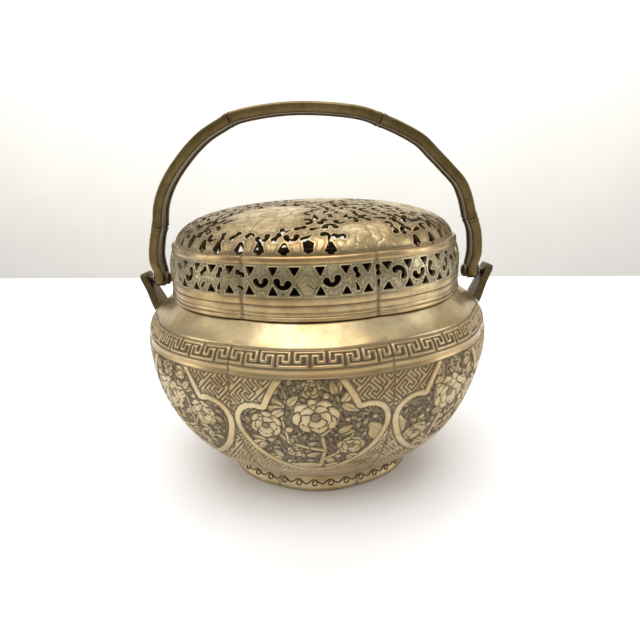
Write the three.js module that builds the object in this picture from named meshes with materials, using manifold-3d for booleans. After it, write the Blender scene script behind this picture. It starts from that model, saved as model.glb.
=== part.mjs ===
// Lobed brass hand warmer: bowl on a foot ring, fire pan, pierced lid and a bamboo-form bail handle.
// Millimetres, +Z up, origin on the axis at the underside of the foot, front towards -Y.
import * as THREE from "three";
import { mergeVertices } from "three/addons/utils/BufferGeometryUtils.js";
import Module from "manifold-3d";

const wasm = await Module();
wasm.setup();

// Lobes: eight round-backed leaves between sharp creases
const lobeCount = 8;
const facetsPerLobe = 6;
const lobeFullness = 2.2;
const bodyCreaseShare = 0.018;
const lidCreaseShare = 0.021;

// Clearances
const solderGap = 0.3;
const slideGap = 0.8;
const boreGap = 0.3;
const panSideGap = 0.7;

// Foot ring
const footHeight = 9;
const footTopRadius = 46.9;
const footEdgeRadius = 47.4;
const footWaistRadius = 46.3;
const footEdgeHeight = 1.2;
const footWall = 3;

// Bowl
const bellyRadius = 81.2;
const bellyHeight = 64;
const bellyStartRadius = 62.2;
const bellyStartHeight = 13.4;
const bellyRise = 25.1;
const seatHeight = 86;
const seatStep = 0.4;
const shoulderRise = 13.2;
const shoulderPullOut = 9.1;
const shoulderPullDown = 6.9;
const bowlWall = 1.6;
const mouthLip = 2.2;

// Neck collar that the lid slides over
const collarWall = 1.4;
const collarRise = 8.6;
const collarDrop = 3.4;

// Fire pan
const panWall = 1.2;
const panFloorRadius = 36;
const panBellyHeight = 52;
const panRimDrop = 7.4;
const panRimWidth = 1.4;
const panRimThickness = 1.1;

// Lid
const rimRadius = 67.8;
const lidWall = 1.5;
const rimHeight = 8.8;
const rimEdgeStep = 0.6;
const rimEdgeHeight = 1.8;
const sideStep = 0.2;
const sideRise = 11.9;
const sideWaistRise = 5.4;
const sideLean = 1.8;
const beadHeight = 2.9;
const beadSwell = 0.9;
const beadSetIn = 1.7;
const domeRise = 16.6;
const domeEdgeRise = 11.4;
const domeEdgePull = 1.8;
const domeCrownPull = 27.6;
const domeCrownDrop = 0.1;

// Piercings
const curlLength = 7.4;
const curlWidth = 2.6;
const curlBend = 1.7;
const triangleWidth = 4.6;
const triangleHeight = 3;
const triangleInset = 1.5;
const domeRowInset = 9.5;
const domeInnerRowRadius = 17;
const domeRows = [
  { perLobe: 3, turn: 0.5 },
  { perLobe: 2, turn: 2.2 },
  { perLobe: 1, turn: 0.9 },
  { perLobe: 1, turn: 2.6 },
];
const sideCurlsPerLobe = 3;
const sideTrianglesPerLobe = 2;

// Bail handle, whose arch leans a little to the left
// Its outer edge is given on each side as [out past the tongue's face, height over the pin]
const pinRise = 5.1;
const bailLidGap = 4.9;
const bailTongueThickness = 5;
const bailTongueWidth = 10.4;
const bailTongueDrop = 3.6;
const bailTongueRise = 3;
const bailThickness = 5.2;
const bailWidth = 12.4;
const bailCrown = 1.4;
const bailChannelWidth = 7.2;
const bailChannelDepth = 0.7;
const bailFoot = [
  [0.6, 5.4],
  [1.1, 8],
  [1.1, 12],
];
const bailRightEdge = [
  [0.1, 20],
  [-2.4, 27],
  [-4.7, 35],
  [-7.9, 42],
  [-14.2, 49],
  [-20.7, 55.5],
  [-26.9, 61.5],
  [-36.4, 67],
  [-46.2, 71.4],
  [-55.4, 74.6],
];
const bailLeftEdge = [
  [-0.4, 20],
  [-2.5, 27],
  [-4, 35],
  [-6.8, 42],
  [-11.1, 49],
  [-16.5, 55.5],
  [-22.4, 61.5],
  [-29.3, 67],
  [-37.6, 71.5],
  [-44, 74.4],
];
const bailTopLean = 8;
const bailTopRise = 77.5;
const bailSteps = 36;
const bailCrownSteps = 5;
const bambooJointRises = [25.8, 70.4];
const bambooSwell = 0.5;
const bambooSwellReach = 2.2;
const bambooClearReach = 3.5;

// Lugs, rooted part of the way up the shoulder's curve
const lugSeat = 0.45;
const lugFaceStep = 6;
const lugThickness = 3.4;
const lugHeadroom = 2.6;
const lugBaseWidth = 14;
const lugTopWidth = 10;
const lugShoulderLength = 9.5;
const lugCornerRadius = 2.5;
const lugRoot = 5;

// Pivot pins and spacer washers
const pinRadius = 1.6;
const pinSides = 16;
const pinHeadRadius = 3.1;
const pinHeadThickness = 1.6;
const pinHeadCrown = 0.7;
const pinHeadFlatShare = 0.6;
const pinHeadFlatDrop = 0.12;
const pinPeen = 0.3;
const washerRadius = 2.7;
const washerThickness = 0.6;

// Sizes that follow from those above
const rimEdgeRadius = rimRadius + rimEdgeStep;
const seatRadius = rimRadius - seatStep;
const lidBottom = seatHeight + solderGap;
const rimTopHeight = lidBottom + rimHeight;
const sideBottomRadius = rimRadius + sideStep;
const sideTopRadius = sideBottomRadius - sideLean;
const sideTopHeight = rimTopHeight + sideRise;
const domeRadius = sideTopRadius - beadSetIn;
const domeBase = sideTopHeight + beadHeight;
const pinHeight = seatHeight + pinRise;
const bailTongueFace = rimEdgeRadius + bailLidGap + bailTongueThickness;

const palette = {
  brass: { color: "#c8aa6c", roughness: 0.34, metalness: 1 },
  lidBrass: { color: "#c2a468", roughness: 0.36, metalness: 1 },
  darkBrass: { color: "#7a5f36", roughness: 0.42, metalness: 1 },
  steel: { color: "#8c8880", roughness: 0.45, metalness: 1 },
  copper: { color: "#8d6544", roughness: 0.5, metalness: 1 },
};

const mergeDistance = 1e-4;
const bailLooks = 400;

const point = (radius, height) => new THREE.Vector2(radius, height);

// Closed bodies and booleans
function closedBody(geometry) {
  geometry.deleteAttribute("normal");
  geometry.deleteAttribute("uv");
  const merged = mergeVertices(geometry, mergeDistance);
  const corners = merged.index.array;
  const kept = [];
  for (let i = 0; i < corners.length; i += 3) {
    const [a, b, c] = corners.slice(i, i + 3);
    if (a !== b && b !== c && c !== a) kept.push(a, b, c);
  }
  merged.setIndex(kept);
  return merged;
}

function toSolid(geometry) {
  const body = closedBody(geometry);
  const vertProperties = new Float32Array(body.attributes.position.array);
  const triVerts = new Uint32Array(body.index.array);
  return new wasm.Manifold(new wasm.Mesh({ numProp: 3, vertProperties, triVerts }));
}

function toGeometry(solid) {
  const mesh = solid.getMesh();
  const geometry = new THREE.BufferGeometry();
  geometry.setAttribute("position", new THREE.BufferAttribute(new Float32Array(mesh.vertProperties), 3));
  geometry.setIndex(new THREE.BufferAttribute(new Uint32Array(mesh.triVerts), 1));
  return geometry;
}

// Lobed turning: each ring of a turned profile is drawn in towards the creases
function lobeScale(angle, creaseShare) {
  const pitch = (2 * Math.PI) / lobeCount;
  const offCentre = Math.abs(angle - pitch * Math.round(angle / pitch));
  return 1 - creaseShare * (offCentre / (pitch / 2)) ** lobeFullness;
}

function lobedLathe(profile, creaseShare) {
  const geometry = new THREE.LatheGeometry(profile, lobeCount * facetsPerLobe);
  geometry.rotateX(Math.PI / 2);
  const place = geometry.attributes.position;
  for (let i = 0; i < place.count; i += 1) {
    const scale = lobeScale(Math.atan2(place.getX(i), -place.getY(i)), creaseShare);
    place.setXY(i, place.getX(i) * scale, place.getY(i) * scale);
  }
  return geometry;
}

function lobedRing(loop, creaseShare) {
  return closedBody(lobedLathe([...loop, loop[0]], creaseShare));
}

// The same outline moved inward by the wall, from its far end back to its start
function innerWall(outline, wall) {
  const moved = outline.map((at, i) => {
    const before = outline[Math.max(i - 1, 0)];
    const after = outline[Math.min(i + 1, outline.length - 1)];
    const along = after.clone().sub(before).normalize();
    return point(Math.max(at.x - along.y * wall, 0), at.y + along.x * wall);
  });
  return moved.reverse();
}

// Bowl
const bellyCurve = new THREE.CubicBezierCurve(
  point(footTopRadius, footHeight),
  point(bellyStartRadius, bellyStartHeight),
  point(bellyRadius, bellyHeight - bellyRise),
  point(bellyRadius, bellyHeight),
);
const shoulderCurve = new THREE.CubicBezierCurve(
  point(bellyRadius, bellyHeight),
  point(bellyRadius, bellyHeight + shoulderRise),
  point(seatRadius + shoulderPullOut, seatHeight - shoulderPullDown),
  point(seatRadius, seatHeight),
);
const bowlOutline = [...bellyCurve.getPoints(7), ...shoulderCurve.getPoints(5).slice(1)];
const collarRadius = rimRadius - lidWall - slideGap;
const mouthRadius = collarRadius + solderGap;

function bowlWallGeometry() {
  const lipHeight = seatHeight - mouthLip;
  const inside = innerWall(bowlOutline, bowlWall).filter((at) => at.y < lipHeight);
  const floorHeight = footHeight + bowlWall;
  const profile = [
    point(0, footHeight),
    ...bowlOutline,
    point(mouthRadius, seatHeight),
    point(mouthRadius, lipHeight),
    ...inside.filter((at) => at.y > floorHeight),
    point(footTopRadius, floorHeight),
    point(0, floorHeight),
  ];
  return closedBody(lobedLathe(profile, bodyCreaseShare));
}

// The bowl's outside grown by the solder gap, to cut the lugs to the shoulder
function bowlClearance() {
  const grown = bowlOutline.map((at) => point(at.x + solderGap, at.y + solderGap));
  const profile = [point(0, footHeight), ...grown, point(0, seatHeight + solderGap)];
  return toSolid(lobedLathe(profile, bodyCreaseShare));
}

function footRingGeometry() {
  const innerRadius = footWaistRadius - footWall;
  const loop = [
    point(footEdgeRadius, 0),
    point(footEdgeRadius, footEdgeHeight),
    point(footWaistRadius, 2 * footEdgeHeight),
    point(footWaistRadius, footHeight - 2 * footEdgeHeight),
    point(footTopRadius, footHeight),
    point(innerRadius, footHeight),
    point(innerRadius, 0),
  ];
  return lobedRing(loop, bodyCreaseShare);
}

const collarTop = seatHeight + collarRise;

function neckCollarGeometry() {
  const loop = [
    point(collarRadius, seatHeight - collarDrop),
    point(collarRadius, collarTop),
    point(collarRadius - collarWall, collarTop),
    point(collarRadius - collarWall, seatHeight - collarDrop),
  ];
  return lobedRing(loop, lidCreaseShare);
}

// Fire pan: a lobed cup with a turned-out rim, standing on the bowl's floor
const panRimRadius = collarRadius - collarWall - panSideGap;
const panRadius = panRimRadius - panRimWidth;
const panFloorHeight = footHeight + bowlWall + solderGap;
const panRimTop = seatHeight - panRimDrop;

function firePanGeometry() {
  const cup = new THREE.CubicBezierCurve(
    point(panFloorRadius, panFloorHeight),
    point(panRadius - panWall, panFloorHeight + panWall),
    point(panRadius, (panFloorHeight + panBellyHeight) / 2),
    point(panRadius, panBellyHeight),
  );
  const rimUnderside = panRimTop - panRimThickness;
  const outside = [...cup.getPoints(4), point(panRadius, rimUnderside)];
  const inside = innerWall(outside, panWall).slice(1);
  const profile = [
    point(0, panFloorHeight),
    ...outside,
    point(panRimRadius, rimUnderside),
    point(panRimRadius, panRimTop),
    point(panRadius - panWall, panRimTop),
    ...inside.filter((at) => at.y > panFloorHeight + panWall),
    point(panFloorRadius, panFloorHeight + panWall),
    point(0, panFloorHeight + panWall),
  ];
  return closedBody(lobedLathe(profile, lidCreaseShare));
}

// Lid, built up from its rim: plain band, pierced side, bead, pierced dome
function lidRimGeometry() {
  const loop = [
    point(rimRadius, lidBottom),
    point(rimEdgeRadius, lidBottom + rimEdgeHeight / 3),
    point(rimEdgeRadius, lidBottom + (2 * rimEdgeHeight) / 3),
    point(rimRadius, lidBottom + rimEdgeHeight),
    point(rimRadius, rimTopHeight),
    point(rimRadius - lidWall, rimTopHeight),
    point(rimRadius - lidWall, lidBottom),
  ];
  return lobedRing(loop, lidCreaseShare);
}

function curlShape() {
  const end = curlLength / 2;
  const half = curlWidth / 2;
  return new THREE.Shape([
    point(end, -curlBend),
    point(end, half - curlBend),
    point(0, half),
    point(-end, half - curlBend),
    point(-end, -curlBend),
    point(0, -half),
  ]);
}

function triangleShape() {
  return new THREE.Shape([
    point(-triangleWidth / 2, 0),
    point(triangleWidth / 2, 0),
    point(0, triangleHeight),
  ]);
}

function prism(shape, depth) {
  return new THREE.ExtrudeGeometry(shape, { depth, bevelEnabled: false, curveSegments: 2 });
}

function cutAll(body, cutters) {
  return cutters.reduce((solid, cutter) => solid.subtract(toSolid(cutter)), toSolid(body));
}

// Holes through the upright side: an outline seen from the front, cut inward, then turned round the axis
function sideCutter(shape, height, turnInPlane, angle) {
  const reach = 4 * lidWall;
  const cutter = prism(shape, 2 * reach);
  cutter.rotateZ(turnInPlane);
  cutter.rotateX(Math.PI / 2);
  cutter.translate(0, reach - sideTopRadius, height);
  cutter.rotateZ(angle);
  return cutter;
}

function lidSideGeometry() {
  const outside = [
    point(sideBottomRadius, rimTopHeight),
    point(sideBottomRadius, rimTopHeight + sideWaistRise),
    point(sideTopRadius, sideTopHeight),
  ];
  const inside = outside.map((at) => point(at.x - lidWall, at.y)).reverse();
  const band = lobedRing([...outside, ...inside], lidCreaseShare);
  const middle = (rimTopHeight + sideTopHeight) / 2;
  const cutters = [];
  for (let i = 0; i < lobeCount * sideCurlsPerLobe; i += 1) {
    const angle = ((i + 0.5) * 2 * Math.PI) / (lobeCount * sideCurlsPerLobe);
    const turn = i % 2 === 0 ? Math.PI / 3 : -Math.PI / 3;
    cutters.push(sideCutter(curlShape(), middle, turn, angle));
  }
  for (let i = 0; i < lobeCount * sideTrianglesPerLobe; i += 1) {
    const angle = (i * 2 * Math.PI) / (lobeCount * sideTrianglesPerLobe);
    cutters.push(sideCutter(triangleShape(), rimTopHeight + triangleInset, 0, angle));
    cutters.push(sideCutter(triangleShape(), sideTopHeight - triangleInset, Math.PI, angle));
  }
  return toGeometry(cutAll(band, cutters));
}

function lidBeadGeometry() {
  const loop = [
    point(sideTopRadius, sideTopHeight),
    point(sideTopRadius + beadSwell, sideTopHeight + beadHeight / 3),
    point((sideTopRadius + domeRadius) / 2 + beadSwell, sideTopHeight + (2 * beadHeight) / 3),
    point(domeRadius, domeBase),
    point(domeRadius - lidWall, domeBase),
    point(sideTopRadius - lidWall, sideTopHeight),
  ];
  return lobedRing(loop, lidCreaseShare);
}

function lidDomeGeometry() {
  const crown = domeBase + domeRise;
  const curve = new THREE.CubicBezierCurve(
    point(domeRadius, domeBase),
    point(domeRadius - domeEdgePull, domeBase + domeEdgeRise),
    point(domeRadius - domeCrownPull, crown - domeCrownDrop),
    point(0, crown),
  );
  const outside = curve.getPoints(7);
  const inside = innerWall(outside, lidWall).slice(0, -1);
  const profile = [point(domeRadius - lidWall, domeBase), ...outside, ...inside];
  const dome = closedBody(lobedLathe([...profile, profile[0]], lidCreaseShare));
  const cutters = [];
  const outerRow = domeRadius - domeRowInset;
  for (const [step, row] of domeRows.entries()) {
    const radius = THREE.MathUtils.lerp(outerRow, domeInnerRowRadius, step / (domeRows.length - 1));
    const count = lobeCount * row.perLobe;
    for (let i = 0; i < count; i += 1) {
      const cutter = prism(curlShape(), domeRise + 2 * lidWall);
      cutter.rotateZ(row.turn + Math.PI * (i % 2));
      cutter.translate(0, -radius, domeBase - lidWall);
      cutter.rotateZ(((i + 0.5) * 2 * Math.PI) / count);
      cutters.push(cutter);
    }
  }
  return toGeometry(cutAll(dome, cutters));
}

// Body skinned over rings of equal count, closed by a fan at each end
function skinOver(rings) {
  const count = rings[0].length;
  const vertices = rings.flat();
  const faces = [];
  for (let i = 0; i + 1 < rings.length; i += 1) {
    for (let j = 0; j < count; j += 1) {
      const a = i * count + j;
      const b = i * count + ((j + 1) % count);
      faces.push(a, b + count, b, a, a + count, b + count);
    }
  }
  const addFan = (ring, start, forward) => {
    const middle = new THREE.Vector3();
    ring.forEach((at) => middle.addScaledVector(at, 1 / count));
    const centre = vertices.push(middle) - 1;
    for (let j = 0; j < count; j += 1) {
      const a = start + j;
      const b = start + ((j + 1) % count);
      faces.push(...(forward ? [centre, b, a] : [centre, a, b]));
    }
  };
  addFan(rings[0], 0, false);
  addFan(rings[rings.length - 1], (rings.length - 1) * count, true);
  const geometry = new THREE.BufferGeometry().setFromPoints(vertices);
  geometry.setIndex(faces);
  return geometry;
}

// Round hole along the pin axis, its middle at the given distance out
function pinBore(middle, length) {
  const radius = pinRadius + boreGap;
  const bore = new THREE.CylinderGeometry(radius, radius, length, pinSides);
  bore.rotateZ(Math.PI / 2);
  bore.translate(middle, 0, pinHeight);
  return toSolid(bore);
}

// Bail handle
function bailSection(thickness, width) {
  const half = width / 2;
  const channel = bailChannelWidth / 2;
  const section = [];
  for (let i = 0; i <= bailCrownSteps; i += 1) {
    const turn = (Math.PI * i) / bailCrownSteps;
    section.push([half * Math.cos(turn), bailCrown * (1 - Math.sin(turn))]);
  }
  section.push([-half, thickness], [-channel - bailChannelDepth, thickness]);
  section.push([-channel, thickness - bailChannelDepth], [channel, thickness - bailChannelDepth]);
  section.push([channel + bailChannelDepth, thickness], [half, thickness]);
  return section;
}

function bailPath() {
  const legEdge = (side, upperEdge) => {
    const tongue = [[0, -bailTongueDrop], [0, 0], [0, bailTongueRise]];
    const edge = [...tongue, ...bailFoot, ...upperEdge];
    return edge.map(([out, up]) => new THREE.Vector3(side * (bailTongueFace + out), 0, pinHeight + up));
  };
  const top = new THREE.Vector3(-bailTopLean, 0, pinHeight + bailTopRise);
  const edge = [...legEdge(1, bailRightEdge), top, ...legEdge(-1, bailLeftEdge).reverse()];
  return new THREE.CatmullRomCurve3(edge, false, "centripetal");
}

// Where along the path the bamboo joints lie, on both legs
function bambooJointStations(path) {
  const findRise = (rise, stationOf) => {
    let look = 0;
    while (path.getPointAt(stationOf(look)).z < pinHeight + rise) look += 1;
    return stationOf(look);
  };
  const fromRight = (look) => look / bailLooks;
  const fromLeft = (look) => 1 - look / bailLooks;
  return bambooJointRises.flatMap((rise) => [findRise(rise, fromRight), findRise(rise, fromLeft)]);
}

// Even stations along the path, with three at each bamboo joint in place of the even ones there
function bailStations(path, joints) {
  const reach = bambooSwellReach / path.getLength();
  const even = Array.from({ length: bailSteps + 1 }, (_, i) => i / bailSteps);
  const clearReach = bambooClearReach / path.getLength();
  const clear = even.filter((station) => joints.every((joint) => Math.abs(station - joint) > clearReach));
  const swells = joints.flatMap((joint) => [joint - reach, joint, joint + reach]);
  return [...clear, ...swells].sort((a, b) => a - b);
}

function bailGeometry() {
  const path = bailPath();
  const joints = bambooJointStations(path);
  const rings = [];
  for (const station of bailStations(path, joints)) {
    const at = path.getPointAt(station);
    const along = path.getTangentAt(station);
    const inward = new THREE.Vector3(-along.z, 0, along.x);
    const overTongue = at.z - pinHeight - bailTongueRise;
    const grown = THREE.MathUtils.smoothstep(overTongue, 0, bailThickness);
    const thickness = THREE.MathUtils.lerp(bailTongueThickness, bailThickness, grown);
    const swell = joints.includes(station) ? bambooSwell : 0;
    const width = THREE.MathUtils.lerp(bailTongueWidth, bailWidth, grown);
    const section = bailSection(thickness + 2 * swell, width + 2 * swell);
    rings.push(section.map(([side, depth]) => {
      const place = at.clone().addScaledVector(inward, depth - swell);
      place.y = side;
      return place;
    }));
  }
  const bore = (side) => pinBore(side * bailTongueFace, 4 * bailTongueThickness);
  return toGeometry(toSolid(skinOver(rings)).subtract(bore(1)).subtract(bore(-1)));
}

// Lug for the +X side: a plate rooted on the shoulder, leaning out to clear the handle's tongue at the pin,
// and long enough to reach past it
const lugTip = shoulderCurve.getPoint(lugSeat).add(point(solderGap, 0));
const lugFaceAtPin = bailTongueFace + lugFaceStep;
const lugLean = Math.atan2(lugFaceAtPin - lugTip.x, pinHeight - lugTip.y);
const lugLength = (pinHeight - lugTip.y) / Math.cos(lugLean) + lugHeadroom;

function lugGeometry() {
  const shape = new THREE.Shape();
  const base = lugBaseWidth / 2;
  const top = lugTopWidth / 2;
  shape.moveTo(-base, -lugRoot);
  shape.lineTo(base, -lugRoot);
  shape.lineTo(base, 0);
  shape.lineTo(top, lugShoulderLength);
  const cornerSide = top - lugCornerRadius;
  const cornerHeight = lugLength - lugCornerRadius;
  shape.absarc(cornerSide, cornerHeight, lugCornerRadius, 0, Math.PI / 2, false);
  shape.absarc(-cornerSide, cornerHeight, lugCornerRadius, Math.PI / 2, Math.PI, false);
  shape.lineTo(-top, lugShoulderLength);
  shape.lineTo(-base, 0);
  shape.closePath();
  const plate = prism(shape, lugThickness);
  plate.translate(0, 0, -lugThickness);
  const upright = new THREE.Matrix4().makeBasis(
    new THREE.Vector3(0, 1, 0),
    new THREE.Vector3(0, 0, 1),
    new THREE.Vector3(1, 0, 0),
  );
  plate.applyMatrix4(upright);
  plate.rotateY(lugLean);
  plate.translate(lugTip.x, 0, lugTip.y);
  const bore = pinBore(lugFaceAtPin, 4 * lugThickness);
  return toGeometry(toSolid(plate).subtract(bowlClearance()).subtract(bore));
}

// Turned piece lying along +X at pin height, from its profile of [radius, distance out from the axis]
function alongPin(profile) {
  const geometry = new THREE.LatheGeometry(profile, pinSides);
  geometry.rotateZ(-Math.PI / 2);
  geometry.translate(0, 0, pinHeight);
  return closedBody(geometry);
}

function pinGeometry() {
  const headFace = bailTongueFace - bailTongueThickness - boreGap;
  const end = lugFaceAtPin + pinPeen;
  return alongPin([
    point(0, headFace - pinHeadThickness - pinHeadCrown),
    point(pinHeadRadius * pinHeadFlatShare, headFace - pinHeadThickness - pinHeadCrown + pinHeadFlatDrop),
    point(pinHeadRadius, headFace - pinHeadThickness + pinHeadCrown),
    point(pinHeadRadius, headFace),
    point(pinRadius, headFace),
    point(pinRadius, end),
    point(0, end),
  ]);
}

function washerGeometry() {
  const start = bailTongueFace + solderGap;
  const bore = pinRadius + boreGap;
  const loop = [
    point(washerRadius, start),
    point(washerRadius, start + washerThickness),
    point(bore, start + washerThickness),
    point(bore, start),
    point(washerRadius, start),
  ];
  return alongPin(loop);
}

// Scene graph
const handWarmer = new THREE.Group();

function addPiece(name, geometry, look, parent = handWarmer) {
  const mesh = new THREE.Mesh(geometry, new THREE.MeshStandardMaterial(look));
  mesh.name = name;
  parent.add(mesh);
}

addPiece("bowl_wall", bowlWallGeometry(), palette.brass);
addPiece("foot_ring", footRingGeometry(), palette.brass);
addPiece("neck_collar", neckCollarGeometry(), palette.brass);
addPiece("fire_pan", firePanGeometry(), palette.copper);
addPiece("lid_rim_band", lidRimGeometry(), palette.lidBrass);
addPiece("lid_side_band", lidSideGeometry(), palette.lidBrass);
addPiece("lid_bead", lidBeadGeometry(), palette.lidBrass);
addPiece("lid_dome", lidDomeGeometry(), palette.lidBrass);
addPiece("bail_handle", bailGeometry(), palette.darkBrass);

for (const [side, turn] of [["right", 0], ["left", Math.PI]]) {
  const ear = new THREE.Group();
  ear.rotation.z = turn;
  handWarmer.add(ear);
  addPiece(`lug_${side}`, lugGeometry(), palette.darkBrass, ear);
  addPiece(`pivot_pin_${side}`, pinGeometry(), palette.darkBrass, ear);
  addPiece(`spacer_washer_${side}`, washerGeometry(), palette.steel, ear);
}

export default handWarmer;
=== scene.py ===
import math

import bmesh
import bpy
import numpy as np
from mathutils import Matrix, Vector


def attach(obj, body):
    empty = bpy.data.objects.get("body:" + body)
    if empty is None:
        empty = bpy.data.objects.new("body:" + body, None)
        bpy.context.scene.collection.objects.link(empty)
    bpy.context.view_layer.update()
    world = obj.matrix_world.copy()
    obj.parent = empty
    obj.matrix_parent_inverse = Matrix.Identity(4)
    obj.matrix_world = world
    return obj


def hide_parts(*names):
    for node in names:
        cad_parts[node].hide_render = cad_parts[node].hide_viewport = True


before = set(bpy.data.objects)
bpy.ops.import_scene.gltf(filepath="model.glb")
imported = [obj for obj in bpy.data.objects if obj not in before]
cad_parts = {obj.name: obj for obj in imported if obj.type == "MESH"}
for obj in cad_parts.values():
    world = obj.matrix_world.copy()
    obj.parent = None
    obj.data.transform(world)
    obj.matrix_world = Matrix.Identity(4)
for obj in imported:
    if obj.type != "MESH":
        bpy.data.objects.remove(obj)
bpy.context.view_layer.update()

# Lengths here are millimetres until a mesh is made
toMetres = 0.001
lobes = 8
pitch = 2 * math.pi / lobes
bodyCrease = 0.018
lidCrease = 0.021
lobeFullness = 2.2


# Mesh makers

def shown(name, mesh):
    piece = bpy.data.objects.new(name, mesh)
    bpy.context.scene.collection.objects.link(piece)
    return piece


def addLayer(mesh, layer, values):
    spot = mesh.attributes.new(layer, "FLOAT", "POINT")
    spot.data.foreach_set("value", np.asarray(values, np.float32).ravel())


def meshPiece(name, verts, quads=(), tris=(), others=(), layers=None, sharp=None):
    mesh = bpy.data.meshes.new(name)
    verts = np.asarray(verts, float) * toMetres
    quads = np.asarray(quads, int).reshape(-1, 4)
    tris = np.asarray(tris, int).reshape(-1, 3)
    sizes = np.concatenate(
        [np.full(len(quads), 4), np.full(len(tris), 3), [len(o) for o in others]]
    ).astype(int)
    corners = np.concatenate([quads.ravel(), tris.ravel(), *[np.asarray(o, int) for o in others]]).astype(int)
    mesh.vertices.add(len(verts))
    mesh.vertices.foreach_set("co", verts.ravel())
    mesh.loops.add(len(corners))
    mesh.loops.foreach_set("vertex_index", corners)
    mesh.polygons.add(len(sizes))
    mesh.polygons.foreach_set("loop_start", np.concatenate([[0], np.cumsum(sizes)[:-1]]).astype(int))
    mesh.update(calc_edges=True)
    mesh.shade_smooth()
    for layer, values in (layers or {}).items():
        addLayer(mesh, layer, values)
    if sharp is not None:
        mesh.set_sharp_from_angle(angle=math.radians(sharp))
    return shown(name, mesh)


def finishPiece(piece, material, body, *nodes, slot=None):
    piece.data.materials.clear()
    piece.data.materials.append(material)
    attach(piece, body)
    if nodes:
        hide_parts(*nodes)
    return piece


def lobeScale(theta, share):
    off = np.abs(theta - pitch * np.round(theta / pitch))
    return 1 - share * (off / (pitch / 2)) ** lobeFullness


def roundAxis(radius, theta, height, share):
    reach = radius * lobeScale(theta, share)
    return np.stack([reach * np.sin(theta), -reach * np.cos(theta), height], -1)


def bezier(a, b, c, d, steps):
    t = np.linspace(0, 1, steps + 1)[:, None]
    a, b, c, d = (np.array(at, float) for at in (a, b, c, d))
    return (1 - t) ** 3 * a + 3 * (1 - t) ** 2 * t * b + 3 * (1 - t) * t**2 * c + t**3 * d


def smoothStep(value, low, high):
    t = np.clip((value - low) / (high - low), 0, 1)
    return t * t * (3 - 2 * t)


class Profile:
    # A turned outline by its arc length

    def __init__(self, points):
        keep = np.concatenate([[True], np.linalg.norm(np.diff(points, axis=0), axis=1) > 1e-6])
        self.points = np.asarray(points)[keep]
        steps = np.linalg.norm(np.diff(self.points, axis=0), axis=1)
        self.along = np.concatenate([[0], np.cumsum(steps)])
        self.length = self.along[-1]
        slope = np.gradient(self.points, self.along, axis=0)
        slope /= np.linalg.norm(slope, axis=1)[:, None]
        self.outward = np.stack([slope[:, 1], -slope[:, 0]], -1)

    def at(self, s, lift=0.0):
        r = np.interp(s, self.along, self.points[:, 0])
        z = np.interp(s, self.along, self.points[:, 1])
        nr = np.interp(s, self.along, self.outward[:, 0])
        nz = np.interp(s, self.along, self.outward[:, 1])
        return r + nr * lift, z + nz * lift

    def ofHeight(self, z):
        order = np.argsort(self.points[:, 1])
        return np.interp(z, self.points[order, 1], self.along[order])


def fieldNoise(u, v, size, seed):
    # Smooth noise from -1 to 1 with features of about the given size
    rng = np.random.default_rng(seed)
    total = np.zeros(np.broadcast(u, v).shape)
    for _ in range(5):
        turn, phase = rng.uniform(0, math.pi), rng.uniform(0, 2 * math.pi, 2)
        scale = size * rng.uniform(0.7, 1.5)
        a = (u * math.cos(turn) + v * math.sin(turn)) * 2 * math.pi / scale
        b = (v * math.cos(turn) - u * math.sin(turn)) * 2 * math.pi / scale
        total += np.sin(a + phase[0] + 0.8 * np.sin(b * 0.7 + phase[1]))
    return total / 5


# Outlines of the metal work
foot = {"height": 9.0, "top": 46.9, "edge": 47.4, "waist": 46.3, "wall": 3.0}
bowl = {
    "belly": 81.2, "bellyHeight": 64.0, "start": (62.2, 13.4), "lowRise": 25.1, "highRise": 13.2,
    "seat": 67.4, "seatHeight": 86.0, "wall": 1.6, "lip": 2.2, "mouth": 65.8,
}
lid = {
    "bottom": 86.3, "rim": 67.8, "wall": 1.5, "rimMiddle": 91.0, "rimTop": 95.1, "sideRadius": 68.0,
    "sideTop": 107.0, "sideTopRadius": 66.2, "domeBase": 109.9, "domeRadius": 64.5, "domeRise": 16.6,
}
pinHeight = 91.1

bowlProfile = Profile(np.concatenate([
    bezier(
        (foot["top"], foot["height"]), bowl["start"], (bowl["belly"], bowl["bellyHeight"] - bowl["lowRise"]),
        (bowl["belly"], bowl["bellyHeight"]), 240,
    ),
    bezier(
        (bowl["belly"], bowl["bellyHeight"]), (bowl["belly"], bowl["bellyHeight"] + bowl["highRise"]),
        (bowl["seat"] + 9.1, bowl["seatHeight"] - 6.9), (bowl["seat"], bowl["seatHeight"]), 120,
    )[1:],
]))


# Materials

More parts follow.
